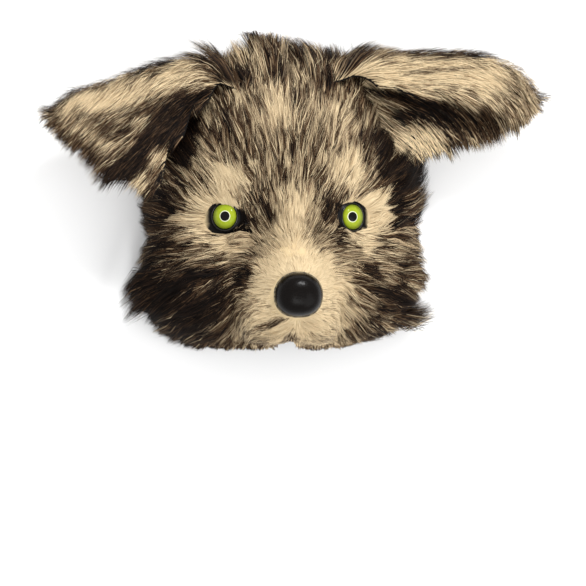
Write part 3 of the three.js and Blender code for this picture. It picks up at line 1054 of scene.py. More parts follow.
class Sheet:
    """The nodes of one finish."""

    def __init__(self, name: str) -> None:
        """Start a material with its shader."""
        self.material = bpy.data.materials.new(name)
        self.material.use_nodes = True
        self.tree = self.material.node_tree
        self.shader = self.tree.nodes["Principled BSDF"]

    def node(self, kind: str, settings: dict[str, Any], inputs: dict[Any, Any]) -> bpy.types.Node:
        """Add a node: its type, then its settings, then the values or links of its sockets.

        Args:
            kind: Type of the node.
            settings: Attributes of the node, set first.
            inputs: Socket name or number to what `feed` takes.

        Returns:
            The node.
        """
        node = self.tree.nodes.new(kind)
        for key, setting in settings.items():
            setattr(node, key, setting)
        for key, given in inputs.items():
            self.feed(node.inputs[key], given)
        return node

    def feed(self, socket: bpy.types.NodeSocket, given: Any) -> None:
        """Link a socket to a socket or a Value, or set it to a number or to a colour from 0 to 255."""
        if isinstance(given, Value):
            given = given.socket
        if isinstance(given, tuple):
            given = colour(*given)
        if isinstance(given, bpy.types.NodeSocket):
            self.tree.links.new(given, socket)
        else:
            socket.default_value = given

    def set(self, **inputs: Any) -> None:
        """Set or link sockets of the shader; an underscore in a name stands for a space."""
        for key, given in inputs.items():
            self.feed(self.shader.inputs[key.replace("_", " ")], given)

    def chart(self) -> tuple[Value, Value]:
        """The piece's own map: across and up."""
        split = self.node("ShaderNodeSeparateXYZ", {}, {0: self.chart_place()})
        return Value(self, split.outputs[0]), Value(self, split.outputs[1])

    def chart_place(self) -> bpy.types.NodeSocket:
        """The place on the piece's own map."""
        return self.node("ShaderNodeUVMap", {"uv_map": CHART}, {}).outputs[0]

    def object_place(self) -> bpy.types.NodeSocket:
        """The place on the object."""
        return self.node("ShaderNodeTexCoord", {}, {}).outputs["Object"]

    def noise(self, place: Any, scale: float, detail: float = 2.0, roughness: float = 0.5) -> Value:
        """A cloudy pattern from 0 to 1."""
        inputs = {"Vector": place, "Scale": scale, "Detail": detail, "Roughness": roughness}
        return Value(self, self.node("ShaderNodeTexNoise", {}, inputs).outputs[0])

    def mix(self, share: Any, first: Any, second: Any) -> bpy.types.NodeSocket:
        """Blend two colours: the second takes the share."""
        inputs = {0: share, 6: first, 7: second}
        return self.node("ShaderNodeMix", {"data_type": "RGBA"}, inputs).outputs[2]

    def bump(self, height: Any, strength: float, distance: float) -> bpy.types.NodeSocket:
        """Turn a height into a bent normal; the distance is in metres."""
        inputs = {"Height": height, "Strength": strength, "Distance": distance}
        return self.node("ShaderNodeBump", {}, inputs).outputs[0]


def colour(red: float, green: float, blue: float) -> tuple[float, float, float, float]:
    """A colour as the eye reads it, 0 to 255, as the light that it gives back."""

    def light(value: float) -> float:
        """One channel, by the usual curve: a straight foot and a power of 2.4 above it."""
        share = value / 255.0
        return share / 12.92 if share <= 0.04045 else ((share + 0.055) / 1.055) ** 2.4

    return light(red), light(green), light(blue), 1.0


class Finish:
    """A finish with the name of its slot; its material is made once."""

    slot = ""
    made: dict[str, bpy.types.Material] = {}

    def material(self) -> bpy.types.Material:
        """The finish's material."""
        name = type(self).__name__
        if name not in Finish.made:
            sheet = Sheet(name)
            self.build(sheet)
            Finish.made[name] = sheet.material
        return Finish.made[name]

    def build(self, sheet: Sheet) -> None:
        """Fill the sheet."""
        raise NotImplementedError


@dataclass(frozen=True)
class FurFinish(Finish):
    """Hairs that are cream, darkened near the root by painted shade, and turn dark brown at a point that the
    tone sets.
    """

    slot = "face_fur"
    pale: Triple = (223, 202, 164)
    warm: Triple = (208, 187, 150)
    tan: Triple = (172, 148, 116)
    grey: Triple = (118, 102, 82)
    fawn: Triple = (124, 100, 74)
    brown: Triple = (80, 60, 42)
    umber: Triple = (42, 29, 20)
    black: Triple = (14, 9, 7)
    # painted shade: the darker colour that the lower part of each hair is mixed towards
    root_shade: Triple = (200, 177, 140)

    def build(self, sheet: Sheet) -> None:
        """Colour by the hair's own map: each band has a light, darkened near the root by painted shade, and,
        from the hair's tone upwards, a dark.
        """
        tone, height = sheet.chart()
        band = (height * float(len(HueBand))).whole()
        share = (height * float(len(HueBand))).fraction()
        light = self.banded(sheet, band, (self.pale, self.warm, self.tan, self.grey))
        # painted shade: the lowest 35 percent of each hair is mixed towards the darker root colour
        light = sheet.mix(1.0 - share.step(0.0, 0.35), light, self.root_shade)
        dark = self.banded(sheet, band, (self.fawn, self.brown, self.umber, self.black))
        darkness = (share + 0.16 - tone * 1.28).step(-0.14, 0.12)
        sheet.set(Base_Color=sheet.mix(darkness, light, dark))
        sheet.set(Roughness=0.5, Specular_IOR_Level=0.06)

    def banded(self, sheet: Sheet, band: Value, colours: Sequence[Triple]) -> Any:
        """The colour of each band, the bottom one first."""
        mixed: Any = colours[0]
        for number, given in enumerate(colours[1:]):
            mixed = sheet.mix(band.step(number + 0.4, number + 0.6), mixed, given)
        return mixed


@dataclass(frozen=True)
class EarFurFinish(FurFinish):
    """The same hairs on the ears, a little paler."""

    slot = "ear_fur"
    pale: Triple = (229, 208, 169)
    warm: Triple = (214, 192, 154)


@dataclass(frozen=True)
class BackingFinish(Finish):
    """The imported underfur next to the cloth, from cream to nearly black."""

    slot = "face_fur"
    light: Triple = (206, 184, 144)
    dark: Triple = (12, 9, 8)

    def build(self, sheet: Sheet) -> None:
        """Mix the two by the piece's tone and a fine cloud, with a fine rough relief."""
        place = sheet.object_place()
        cloud = sheet.noise(place, 160.0, 4.0, 0.6)
        tone = Value(sheet, sheet.node("ShaderNodeAttribute", {"attribute_name": "tone"}, {}).outputs["Fac"])
        share = (tone + cloud * 0.6 - 0.3).step(0.1, 0.9)
        sheet.set(Base_Color=sheet.mix(share, self.light, self.dark))
        sheet.set(Roughness=0.9, Specular_IOR_Level=0.2)
        sheet.set(Normal=sheet.bump(sheet.noise(place, 700.0, 3.0), 0.6, 0.0008))


@dataclass(frozen=True)
class EarBackingFinish(BackingFinish):
    """The same underfur on the ears."""

    slot = "ear_fur"


@dataclass(frozen=True)
class MouldedFinish(Finish):
    """Moulded black plastic, matt, with a fine grain and faint rubbed marks."""

    slot = "shell"
    black: Triple = (13, 12, 13)
    rubbed: Triple = (26, 24, 25)

    def build(self, sheet: Sheet) -> None:
        """A fine grain as bump, and a cloud that lifts the colour and the roughness a little."""
        place = sheet.object_place()
        wear = sheet.noise(place, 28.0, 5.0, 0.6).step(0.5, 0.75)
        sheet.set(Base_Color=sheet.mix(wear * 0.5, self.black, self.rubbed))
        sheet.set(Roughness=wear * 0.18 + 0.42, Specular_IOR_Level=0.3)
        sheet.set(Normal=sheet.bump(sheet.noise(place, 900.0, 2.0), 0.25, 0.0003))


@dataclass(frozen=True)
class GlossFinish(Finish):
    """Glossy black plastic of the ring round each eye."""

    slot = "shell"
    black: Triple = (14, 13, 14)
    clouded: Triple = (34, 31, 31)

    def build(self, sheet: Sheet) -> None:
        """Black with a slight unevenness in its gloss."""
        place = sheet.object_place()
        cloud = sheet.noise(place, 300.0, 3.0)
        sheet.set(Base_Color=sheet.mix(cloud * 0.3, self.black, self.clouded))
        sheet.set(Roughness=cloud * 0.16 + 0.14, Specular_IOR_Level=0.5)
        sheet.set(Normal=sheet.bump(cloud, 0.12, 0.0006))


@dataclass(frozen=True)
class EyeFinish(Finish):
    """A painted and clear-coated eye: pupil, thin pale ring and speckled yellow-green iris."""

    slot = "eye"
    pupil: float = 0.272
    ring: float = 0.308
    green: Triple = (142, 158, 30)
    bright: Triple = (172, 184, 56)
    edge: Triple = (94, 108, 24)
    speckle: Triple = (78, 76, 30)
    cream: Triple = (226, 228, 200)
    black: Triple = (6, 5, 5)
    blur: float = 0.02

    def build(self, sheet: Sheet) -> None:
        """Colour by the distance from the middle of the piece's own map, with speckles towards the rim."""
        x, y = sheet.chart()
        across_map, up_map = (x - 0.5) * 2.0, (y - 0.5) * 2.0
        radius = (across_map * across_map + up_map * up_map) ** 0.5
        place = sheet.chart_place()
        cloud = sheet.noise(place, 9.0, 5.0, 0.65)
        flecks = sheet.noise(place, 38.0, 4.0, 0.6)
        iris = sheet.mix(cloud.step(0.42, 0.72) * 0.45, self.green, self.bright)
        iris = sheet.mix(radius.step(0.46, 0.76) * 0.75, iris, self.edge)
        spots = flecks.step(0.55, 0.7) * (radius + cloud * 0.4).step(0.64, 0.95)
        iris = sheet.mix(spots * 0.75, iris, self.speckle)
        painted = sheet.mix(radius.step(self.ring, self.ring + self.blur), self.cream, iris)
        painted = sheet.mix(radius.step(self.pupil, self.pupil + self.blur), self.black, painted)
        sheet.set(Base_Color=painted, Roughness=0.3, Specular_IOR_Level=0.05)
        sheet.set(Coat_Weight=0.2, Coat_Roughness=0.02)


@dataclass(frozen=True)
class NoseFinish(Finish):
    """Black moulded vinyl with a lightly pebbled skin."""

    slot = "nose"
    black: Triple = (8, 5, 4)
    high: Triple = (17, 12, 9)

    def build(self, sheet: Sheet) -> None:
        """Pebbles from a cell pattern as bump, paler and glossier on their crowns."""
        place = sheet.object_place()
        cells = sheet.node(
            "ShaderNodeTexVoronoi",
            {"feature": "SMOOTH_F1"},
            {"Vector": place, "Scale": 900.0, "Smoothness": 0.6},
        )
        pebble = 1.0 - Value(sheet, cells.outputs["Distance"])
        cloud = sheet.noise(place, 120.0, 4.0)
        sheet.set(Base_Color=sheet.mix(pebble.step(0.35, 0.95) * 0.6, self.black, self.high))
        sheet.set(Roughness=0.24 - pebble * 0.06 + cloud * 0.08, Specular_IOR_Level=0.1)
        sheet.set(Normal=sheet.bump(pebble * 0.8 + cloud * 0.5, 0.6, 0.00016))


@dataclass(frozen=True)
class WeltFinish(Finish):
    """The thin glue line round the nose."""

    slot = "nose"
    dark: Triple = (44, 38, 30)
    light: Triple = (136, 122, 92)

    def build(self, sheet: Sheet) -> None:
        """Yellowish grey, broken up by a cloud."""
        cloud = sheet.noise(sheet.object_place(), 420.0, 3.0)
        sheet.set(Base_Color=sheet.mix(cloud.step(0.35, 0.65), self.dark, self.light))
        sheet.set(Roughness=0.6)


@dataclass(frozen=True)
class FloorFinish(Finish):
    """A plain pale studio floor; it isn't part of the mask, so it has no slot."""

    white: Triple = (251.6, 251.6, 251.6)

    def build(self, sheet: Sheet) -> None:
        """A near white, with the faintest cloud in its roughness."""
        cloud = sheet.noise(sheet.object_place(), 3.0)
        sheet.set(Base_Color=self.white, Roughness=cloud * 0.1 + 0.7, Specular_IOR_Level=0.2)


# The head's fur


@dataclass(frozen=True)
class RegionPlan:
    """The piece that a region's fur becomes, how many hairs it has, and the width of a hair."""

    piece: str
    count: int
    width: float


class Region(Enum):
    """The regions that the head's fur is divided into."""

    MUZZLE = RegionPlan("fur_muzzle", 53000, 0.4)
    FOREHEAD = RegionPlan("fur_forehead", 62000, 0.46)
    CHEEK_LEFT = RegionPlan("fur_cheek_left", 48000, 0.48)
    CHEEK_RIGHT = RegionPlan("fur_cheek_right", 48000, 0.48)
    BACK = RegionPlan("fur_back", 20000, 0.8)


@dataclass
class HeadFur:
    """The long fur of the face, grown from its backing in wisps, pointed tufts and larger locks."""

    seed: int = 41
    segments: int = 2
    wisp: Clump = Clump(3.0, 3, 0.35, 0.3)
    tuft: Clump = Clump(6.5, 90, 0.6, 0.55)
    lock: Clump = Clump(13.0, 50, 0.2, 0.35)
    wide_streaks: Streaks = Streaks(26.0, 3.4, 20, 0.1)
    fine_streaks: Streaks = Streaks(18.0, 1.6, 30, 0.16)
    strands: Streaks = Streaks(14.0, 0.8, 40)
    brow_line: float = 12.0
    back_height: float = 24.0
    back_end: float = -20.0
    rim_height: float = 12.0
    front_share: float = 0.42
    eye_zone_share: float = 0.6
    root_depth: float = 0.3
    overhang: float = 2.6
    overhang_left: float = 13.0
    overhang_right: float = 0.5
    sheet_columns: int = 241
    sheet_rows: int = 150
    sheet_lowest: float = 112.0

    def region_of(self, points: Array) -> Array:
        """The number of the region that each place belongs to, in the order of Region."""
        x, y, z = axes_of(points)
        number = {region: place for place, region in enumerate(Region)}
        found = np.full(len(points), number[Region.FOREHEAD])
        found[(y < self.brow_line) & (x < 0)] = number[Region.CHEEK_LEFT]
        found[(y < self.brow_line) & (x >= 0)] = number[Region.CHEEK_RIGHT]
        found[((z < self.back_height) & (y > self.back_end)) | (z < self.rim_height)] = number[Region.BACK]
        found[COAT.muzzle_share(points) > self.front_share] = number[Region.MUZZLE]
        found[COAT.eye_share(points) > self.eye_zone_share] = number[Region.MUZZLE]
        return found

    def roots(self, rng: Chance) -> dict[Region, Array]:
        """Scatter root points evenly over each region of the backing.

        A face of the grid is chosen with a chance in proportion to its area, more often round the eyes, and
        the point within it by two even shares.

        Args:
            rng: Source of chance.

        Returns:
            Root points of each region.
        """
        grid = HEAD.sheet(self.sheet_columns, self.sheet_rows, self.sheet_lowest)
        a, b, c, d = grid[:-1, :-1], grid[1:, :-1], grid[1:, 1:], grid[:-1, 1:]
        corners = np.stack([a, b, c, d], axis=2).reshape(-1, 4, 3)
        middles = corners.mean(axis=1)
        area = length_of(np.cross(corners[:, 2] - corners[:, 0], corners[:, 3] - corners[:, 1])) / 2.0
        kept = (middles[:, 2] > 0.5) & (middles[:, 1] > COAT.lower_edge(middles) - 2.0)
        numbers = self.region_of(middles)
        crowding = 1.0 + 3.0 * bell(EYE.bare_share(middles) - 1.06, 0.1) * (middles[:, 2] > EYE.front)
        found: dict[Region, Array] = {}
        for number, region in enumerate(Region):
            count = region.value.count
            weight = area * kept * (numbers == number) * crowding
            chosen = np.searchsorted(np.cumsum(weight) / weight.sum(), rng.random(count))
            s, t = rng.random((2, count, 1))
            quad = corners[np.minimum(chosen, len(corners) - 1)]
            upper = quad[:, 0] * (1 - s) + quad[:, 3] * s
            lower = quad[:, 1] * (1 - s) + quad[:, 2] * s
            points = upper * (1 - t) + lower * t
            points, _ = HEAD.lifted(points, COAT.skin(points) - self.root_depth)
            clear = (EYE.bare_share(points) > 0.98) | (points[:, 2] < EYE.front)
            clear &= NOSE.hole_share(points) > 1.0
            found[region] = points[clear & (points[:, 2] > 0.6)]
        return found

    def grown(self, roots: Array, length: Array, tip: Array, turn: Array) -> tuple[Array, Array]:
        """Grow hairs step by step along the comb, rising from the skin to the height of their tips.

        The height over the moulded form is skin plus (tip less skin) times `risen`.

        Args:
            roots: Where the hairs start, shaped (count, 3).
            length: Length of each.
            tip: Height of each tip over the moulded form.
            turn: Angle by which each leaves the comb's line, in radians.

        Returns:
            Paths and outward directions, both shaped (count, segments + 1, 3).
        """
        here, outward = HEAD.lifted(roots, COAT.skin(roots) - self.root_depth, 1)
        skin = COAT.skin(here)
        path, looks = [here], [outward]
        for step in range(1, self.segments + 1):
            lie = turned(COAT.comb(here, outward), outward, turn)
            share = step / self.segments
            height = skin + (tip - skin) * risen(share)
            here, outward = HEAD.lifted(here + lie * (length / self.segments)[:, None], height, 1)
            path.append(here)
            looks.append(outward)
        return np.stack(path, axis=1), np.stack(looks, axis=1)

    def darkness(self, points: Array, tuft: Array, lock: Array) -> Array:
        """How dark each place is: the patches, made uneven by tuft and lock and by streaks along the lie."""
        start = 0.6 + 0.15 * smooth(40.0, 5.0, points[:, 2])
        dark = toned(HEAD_PATCHES, VIEW.seen(points), start)
        along, aside = COAT.lines(points)
        uneven = 0.15 * (lock[:, 0] - 0.5) + 0.26 * (tuft[:, 0] - 0.5)
        uneven = uneven + self.wide_streaks.swing(along, aside) + self.fine_streaks.swing(along, aside)
        return dark + unevenness(dark) * uneven

    def fullness(self, roots: Array) -> Array:
        """1 where the fur is deep, falling to a small share where it is shortest."""
        return np.clip((COAT.depth(roots) - 3.5) / 8.0, 0.12, 1.0)

    def stature(self, roots: Array, wisp: Array, tuft: Array, lock: Array) -> tuple[Array, Array]:
        """How long the hairs are, and how high their tips stand over the moulded form.

        Tufts and locks stand up by their own shares to the power 1.6, and the peaks of the crown and of the
        sides are added, more in some tufts than in others.

        Args:
            roots: Root points, shaped (count, 3).
            wisp: The random shares of each root's wisp.
            tuft: Those of its tuft.
            lock: Those of its lock.

        Returns:
            Lengths and heights.
        """
        full, side_lift = self.fullness(roots), COAT.side_lift(roots)
        length = COAT.hair_length(roots) * (0.8 + 0.35 * wisp[:, 1]) * (0.85 + 0.3 * tuft[:, 1])
        lift = COAT.lock_lift * full * (0.6 * lock[:, 1] ** 1.6 + 0.4 * tuft[:, 1] ** 1.6)
        lift = lift + (COAT.crown_lift(roots) + side_lift) * (0.25 + 0.9 * tuft[:, 1])
        height = COAT.depth(roots) * (0.45 + 0.3 * full + 0.25 * wisp[:, 2])
        return length + 0.5 * side_lift, height + lift

    def trimmed(self, paths: Array, roots: Array, tuft: Array, chance: Array) -> Array:
        """Cut hairs off at the fur's ragged lower edge, which hangs lowest on the left, and at the floor.

        Args:
            paths: Hair paths, shaped (count, points, 3).
            roots: Root points, shaped (count, 3).
            tuft: The random shares of each hair's tuft.
            chance: A random share for each hair.

        Returns:
            The paths, shortened.
        """
        x, y, _ = axes_of(roots)
        far = np.where(x < 0, self.overhang_left, self.overhang_right)
        far = far * smooth(50.0, 80.0, np.abs(x)) * smooth(125.0, 95.0, np.abs(x))
        overhang = (self.overhang + far) * (0.2 + 0.3 * chance + 0.9 * tuft[:, 1] ** 2)
        overhang = overhang + 2.0 * bell(y + 76.0, 6.0) * smooth(72.0, 88.0, x)
        paths = shortened(paths, 1, COAT.lower_edge(roots) - overhang)
        return shortened(paths, 2, 0.5 + 4.0 * chance)

    def hairs(self, roots: Array, width: float, rng: Chance) -> Hairs:
        """Grow one region: each hair leans towards the lines of its wisp, its tuft and its lock.

        Args:
            roots: Root points, shaped (count, 3).
            width: Mean width of a hair.
            rng: Source of chance.

        Returns:
            The hairs that stay out of the eyes and off the nose.
        """
        count = len(roots)
        wisp_middle, wisp = self.wisp.near(roots)
        tuft_middle, tuft = self.tuft.near(roots)
        lock_middle, lock = self.lock.near(roots)
        full, crown, side = self.fullness(roots), COAT.crown_share(roots), COAT.side_share(roots)
        length, top = self.stature(roots, wisp, tuft, lock)
        lock_turn = (lock[:, 2] - 0.5) * (self.lock.turn + 0.3 * crown)
        tuft_turn = lock_turn + (tuft[:, 2] - 0.5) * self.tuft.turn * np.sqrt(full)
        wisp_turn = tuft_turn + (wisp[:, 1] - 0.5) * self.wisp.turn
        own_turn = wisp_turn + rng.normal(0.0, 0.08 + 0.1 * full, count)
        own_length = length * (0.75 + 0.4 * rng.random(count))
        own_top = np.maximum(top * (0.7 + 0.45 * rng.random(count)), COAT.skin(roots) + 0.4)
        paths, looks = self.grown(roots, own_length, own_top, own_turn)
        share = np.linspace(0.0, 1.0, self.segments + 1)[None, :, None]
        for middle, turn, pull, power in (
            (wisp_middle, wisp_turn, np.full(count, self.wisp.pull), 1.3),
            (tuft_middle, tuft_turn, self.tuft.pull * full, 1.5),
            (lock_middle, lock_turn, (self.lock.pull + 0.2 * crown + 0.2 * side) * full, 2.0),
        ):
            line, _ = self.grown(middle, length, top, turn)
            paths = paths + (line - paths) * pull[:, None, None] * share**power
        paths = self.trimmed(paths, roots, tuft, rng.random(count))
        sideways = ribbon_sides(paths, looks, rng.normal(0.0, 0.3, count) * (0.4 + 0.6 * full))
        shown = paths[:, 1] + 0.3 * (paths[:, 2] - paths[:, 1])
        dark = self.darkness(shown, tuft, lock)
        tones = hair_tones(dark, self.strands.share(*COAT.lines(shown)), rng)
        hues = hair_hues(dark, 0.75 * rng.random(count) + 0.25 * wisp[:, 2])
        widths = width * (0.7 + 0.6 * rng.random(count))
        made = Hairs(paths, sideways, tones, hues, widths)
        return made.chosen(self.clear_of_eyes(paths)).within_reach()

    def clear_of_eyes(self, paths: Array) -> Array:
        """Which hairs stay out of the eye openings and off the nose."""
        in_front = paths[..., 2] > EYE.front + 5.0
        over_eye = (EYE.bare_share(paths) < 0.96) & in_front
        over_nose = NOSE.hole_share(paths) < 1.0
        return ~(over_eye | over_nose).any(axis=1)

    def build(self) -> list[bpy.types.Object]:
        """Grow every region and make its piece."""
        rng = np.random.default_rng(self.seed)
        pieces = []
        for region, roots in self.roots(rng).items():
            hairs = self.hairs(roots, region.value.width, rng)
            pieces.append(hair_mesh(region.value.piece, hairs, FurFinish()))
        return pieces


@dataclass
class EyeCorners:
    """Short matted hairs on the shell between each eye and the bridge, which hide the sight holes."""

    seed: int = 5
    count: int = 3600
    hole: Pair = (33.0, -4.0)
    hole_half: Pair = (6.6, 4.2)
    ring_clear: float = 12.4
    eye_clear: float = 11.8
    nearest: float = 6.0
    farthest: float = 27.0
    highest: float = 15.0
    above_face: float = 84.0
    tuft: Clump = Clump(3.0, 210, 0.4, 2.4)
    length: float = 10.0
    width: float = 0.45

    def roots(self, rng: Chance) -> tuple[Array, Array]:
        """Scatter roots over both corners, clear of the sight holes and of the rings round the eyes.

        Args:
            rng: Source of chance.

        Returns:
            Root points on the shell, and -1 for those on the picture's left and 1 for those on its right.
        """
        side = np.where(rng.random(self.count * 3) < 0.5, -1.0, 1.0)
        inward = rng.uniform(self.nearest, self.farthest, len(side))
        up = rng.uniform(-self.highest, self.highest, len(side))
        roots = np.stack([side * (EYE.x - inward), up, np.full(len(side), self.above_face)], axis=-1)
        for _ in range(8):
            found, _ = HEAD.measure(roots)
            roots[:, 2] -= 0.8 * (found - 0.15)
        x, y, _ = axes_of(roots)
        from_hole = (np.abs(x) - self.hole[0]) / self.hole_half[0], (y - self.hole[1]) / self.hole_half[1]
        clear = (np.hypot(*from_hole) > 1.0) & (np.hypot(EYE.x - np.abs(x), y) > self.ring_clear)
        clear &= EYE.opening_share(roots) < 1.0
        return roots[clear][: self.count], side[clear][: self.count]

    def build(self) -> bpy.types.Object:
        """Grow both corners' hairs as one piece; they lean from the eyes towards the bridge, with swirls."""
        rng = np.random.default_rng(self.seed)
        roots, side = self.roots(rng)
        count = len(roots)
        _, outward = HEAD.measure(roots)
        lean = np.stack([-side, 0.1 * np.sin(roots[:, 1]), np.zeros(count)], axis=-1)
        middle, tuft = self.tuft.near(roots)
        turn = (tuft[:, 0] - 0.5) * self.tuft.turn + rng.normal(0.0, 0.3, count)
        lie = turned(unit(across(lean, outward)), outward, turn)
        length = self.length * (0.6 + 0.6 * rng.random(count))
        height = 1.2 + 2.4 * tuft[:, 1] + 1.0 * rng.random(count)
        share = np.linspace(0.0, 1.0, 3)[None, :, None]
        paths = roots[:, None] + lie[:, None] * length[:, None, None] * share
        paths = paths + outward[:, None] * height[:, None, None] * (1.0 - (1.0 - share) ** 2)
        paths = paths + ((middle - roots) * self.tuft.pull)[:, None] * share
        sideways = ribbon_sides(paths, np.repeat(outward[:, None], 3, axis=1), np.zeros(count))
        pale = 0.6 * tuft[:, 2] + 0.4 * rng.random(count) > 0.74
        tones = np.where(pale, 0.4 + 0.5 * rng.random(count), 0.02)
        plain = np.where((side > 0) & (rng.random(count) < 0.5), HueBand.TAN.value, HueBand.GREY.value)
        hues = np.where(pale, HueBand.TAN.value, plain)
        widths = self.width * (0.7 + 0.6 * rng.random(count))
        off_eye = np.hypot(np.abs(paths[..., 0]) - EYE.x, paths[..., 1]) > self.eye_clear
        hairs = Hairs(paths, sideways, tones, hues, widths).chosen(off_eye.all(axis=1))
        return hair_mesh("fur_eye_corners", hairs, FurFinish())


@dataclass
class Backing:
    """The cloth and packed underfur below the long hairs, with the solid's own outline and openings."""

    node: str = "fur_pelt"
    piece: str = "pelt_backing"

    def build(self) -> bpy.types.Object:
        """Sink a merged copy of the solid to the skin, lower at the eyes, and tone it as the fur over it."""
        mesh = merged_copy(self.node, self.piece)
        places = vertex_places(mesh)
        height, outward = HEAD.measure(places)
        sunk = np.where(height > 0.8, 0.3 + (height - 0.3) * COAT.skin_share, height)
        by_rim = smooth(2.0, 1.3, EYE.bare_share(places)) * smooth(EYE.front, EYE.front + 10.0, places[:, 2])
        thickest = np.maximum(COAT.skin(places) * (1.0 - 0.45 * by_rim), 1.2 - 0.5 * by_rim)
        sunk = np.minimum(sunk, thickest)
        moved = places - outward * (height - sunk)[:, None]
        moved[:, 2] = np.where(places[:, 2] < 0.05, 0.0, np.maximum(moved[:, 2], 0.2))
        mesh.vertices.foreach_set("co", PLACE.to_metres(moved).astype(np.float32).ravel())
        mesh.shade_smooth()
        tone = toned(HEAD_PATCHES, VIEW.seen(moved), np.full(len(moved), 0.65))
        by_eye = smooth(1.08, 0.98, EYE.bare_share(moved)) * smooth(EYE.front, EYE.front + 10.0, moved[:, 2])
        tone = tone + (1.2 - tone) * by_eye
        add_tone(mesh, tone)
        piece = placed(self.piece, mesh, BackingFinish())
        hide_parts(self.node)
        return piece


def vertex_places(mesh: bpy.types.Mesh) -> Array:
    """The places of a mesh's vertices in the face's frame."""
    flat = np.empty(len(mesh.vertices) * 3, dtype=np.float32)
    mesh.vertices.foreach_get("co", flat)
    return PLACE.to_face(flat.reshape(-1, 3).astype(float))


def add_tone(mesh: bpy.types.Mesh, tone: Array) -> None:
    """Give a mesh the tone at each of its vertices, for its finish to read."""
    layer = mesh.attributes.new("tone", "FLOAT", "POINT")
    layer.data.foreach_set("value", tone.astype(np.float32))


def merged_copy(node: str, name: str) -> bpy.types.Mesh:
    """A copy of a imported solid's mesh with its loose triangles joined."""
    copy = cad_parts[node].data.copy()
    copy.name = name
    work = bmesh.new()
    work.from_mesh(copy)
    bmesh.ops.remove_doubles(work, verts=work.verts, dist=2e-6)
    work.to_mesh(copy)
    work.free()
    return copy


@dataclass
class Shell:
    """The hollow moulded shell that the fur is glued to, with the glossy ring round each eye."""

    ring_inner: float = 10.6
    ring_outer: float = 12.3
    ring_height: float = 1.9
    ring_columns: int = 72
    ring_rows: int = 15
    sharp_from: float = 34.0

    def build(self) -> list[bpy.types.Object]:
        """Smooth a merged copy of the solid, and turn a rounded ring for each eye."""
        mesh = merged_copy("face_shell", "moulded_body")
        mesh.shade_smooth()
        mesh.set_sharp_from_angle(angle=math.radians(self.sharp_from))
        body = placed("moulded_body", mesh, MouldedFinish())
        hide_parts("face_shell")
        return [body, self.ring(-1), self.ring(1)]

    def ring(self, side: int) -> bpy.types.Object:
        """A bead with a half-round top, on the shell round one eye."""
        section = np.radians(np.linspace(-20.0, 200.0, self.ring_rows))
        middle = (self.ring_inner + self.ring_outer) / 2.0
        half = (self.ring_outer - self.ring_inner) / 2.0
        radius = middle + half * np.cos(section)
        height = EYE.lift + self.ring_height * np.sin(section)
        grid, _, _ = EYE.revolved(side, radius, height, self.ring_columns)
        return grid_mesh(f"eye_ring_{SIDES[side]}", grid[::-1], GlossFinish(), closed_ends=False)


@dataclass
class DomedEye:
    """One painted eye: a shallow dome on a short upright rim."""

    side: int
    pupil_inward: float
    base: float = 0.5
    columns: int = 64
    dome_rows: int = 18
    chart_radius: float = 0.36
    rim_spread: float = 0.004

    def build(self) -> bpy.types.Object:
        """Turn the profile about the eye's line; the map's middle, the pupil, lies a little inward."""
        climb = np.linspace(np.radians(88.5), 0.0, self.dome_rows)
        radius = np.append(EYE.radius * np.cos(climb), [EYE.radius, EYE.radius * 0.9])
        height = np.append(self.base + EYE.rim + EYE.dome * np.sin(climb), [self.base, self.base])
        travel = np.concatenate([[0.0], np.cumsum(np.hypot(np.diff(radius), np.diff(height)))])
        grid, angle, row = EYE.revolved(self.side, radius, height, self.columns)
        piece = grid_mesh(f"eye_dome_{SIDES[self.side]}", grid, EyeFinish())
        dome_end = travel[self.dome_rows - 1]
        outer = np.where(travel[row] < dome_end, radius[row] / EYE.radius, 1.0)
        outer = outer + np.maximum(0.0, travel[row] - dome_end) * self.rim_spread
        middle = 0.5 + self.chart_radius * self.side * self.pupil_inward
        across_map = middle + self.chart_radius * outer * np.cos(angle)
        up_map = 0.5 + self.chart_radius * outer * np.sin(angle)
        chart = np.stack([across_map, up_map], axis=-1).reshape(-1, 2)
        chart = np.concatenate([chart, [[middle, 0.5], [0.02, 0.02]]])
        give_chart(piece.data, chart)
        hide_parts("eye_left" if self.side < 0 else "eye_right")
        return piece


def give_chart(mesh: bpy.types.Mesh, chart: Array) -> None:
    """Lay a map over a mesh from one place for each vertex."""
    corners = np.empty(len(mesh.loops), dtype=np.int32)
    mesh.loops.foreach_get("vertex_index", corners)
    layer = mesh.uv_layers.new(name=CHART)
    layer.uv.foreach_set("vector", chart[corners].astype(np.float32).ravel())


@dataclass
class NosePad:
    """The moulded nose, with the thin glue line round its foot."""

    columns: int = 120
    rows: int = 64
    welt_radius: float = 0.75
    welt_columns: int = 160
    welt_out: float = 0.35
    welt_angle: float = 96.0

    def build(self) -> list[bpy.types.Object]:
        """Turn the pad, then run a thin bead round its widest ring."""
        pad = NOSE.pad(self.columns, self.rows, 1.5, 150.0)
        nose = grid_mesh("nose_pad", pad, NoseFinish())
        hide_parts("nose")
        ring = NOSE.pad(self.welt_columns, 1, self.welt_angle, self.welt_angle, self.welt_out)[0]
        out = unit((ring - np.array(NOSE.centre)) * np.array([1.0, 1.0, 0.0]))
        bead = np.linspace(0.0, 2.0 * np.pi, 9)[:, None, None]
        up = np.array([0.0, 0.0, 1.0])
        grid = ring[None] + self.welt_radius * (np.cos(bead) * out[None] + np.sin(bead) * up)
        welt = grid_mesh("nose_welt", grid[::-1], WeltFinish(), closed_ends=False)
        return [nose, welt]


# The ears


@dataclass(frozen=True)
class EarPlan:
    """One folded ear: its crest line, its flaps' widths, how they hang, and how deep the crest's pile is."""

    side: int
    crest: tuple[Triple, ...]
    fold_radius: Pair
    front_flap: tuple[Pair, ...]
    rear_flap: tuple[Pair, ...]
    front_splay: float
    rear_splay: float
    crest_pile: tuple[Pair, ...]


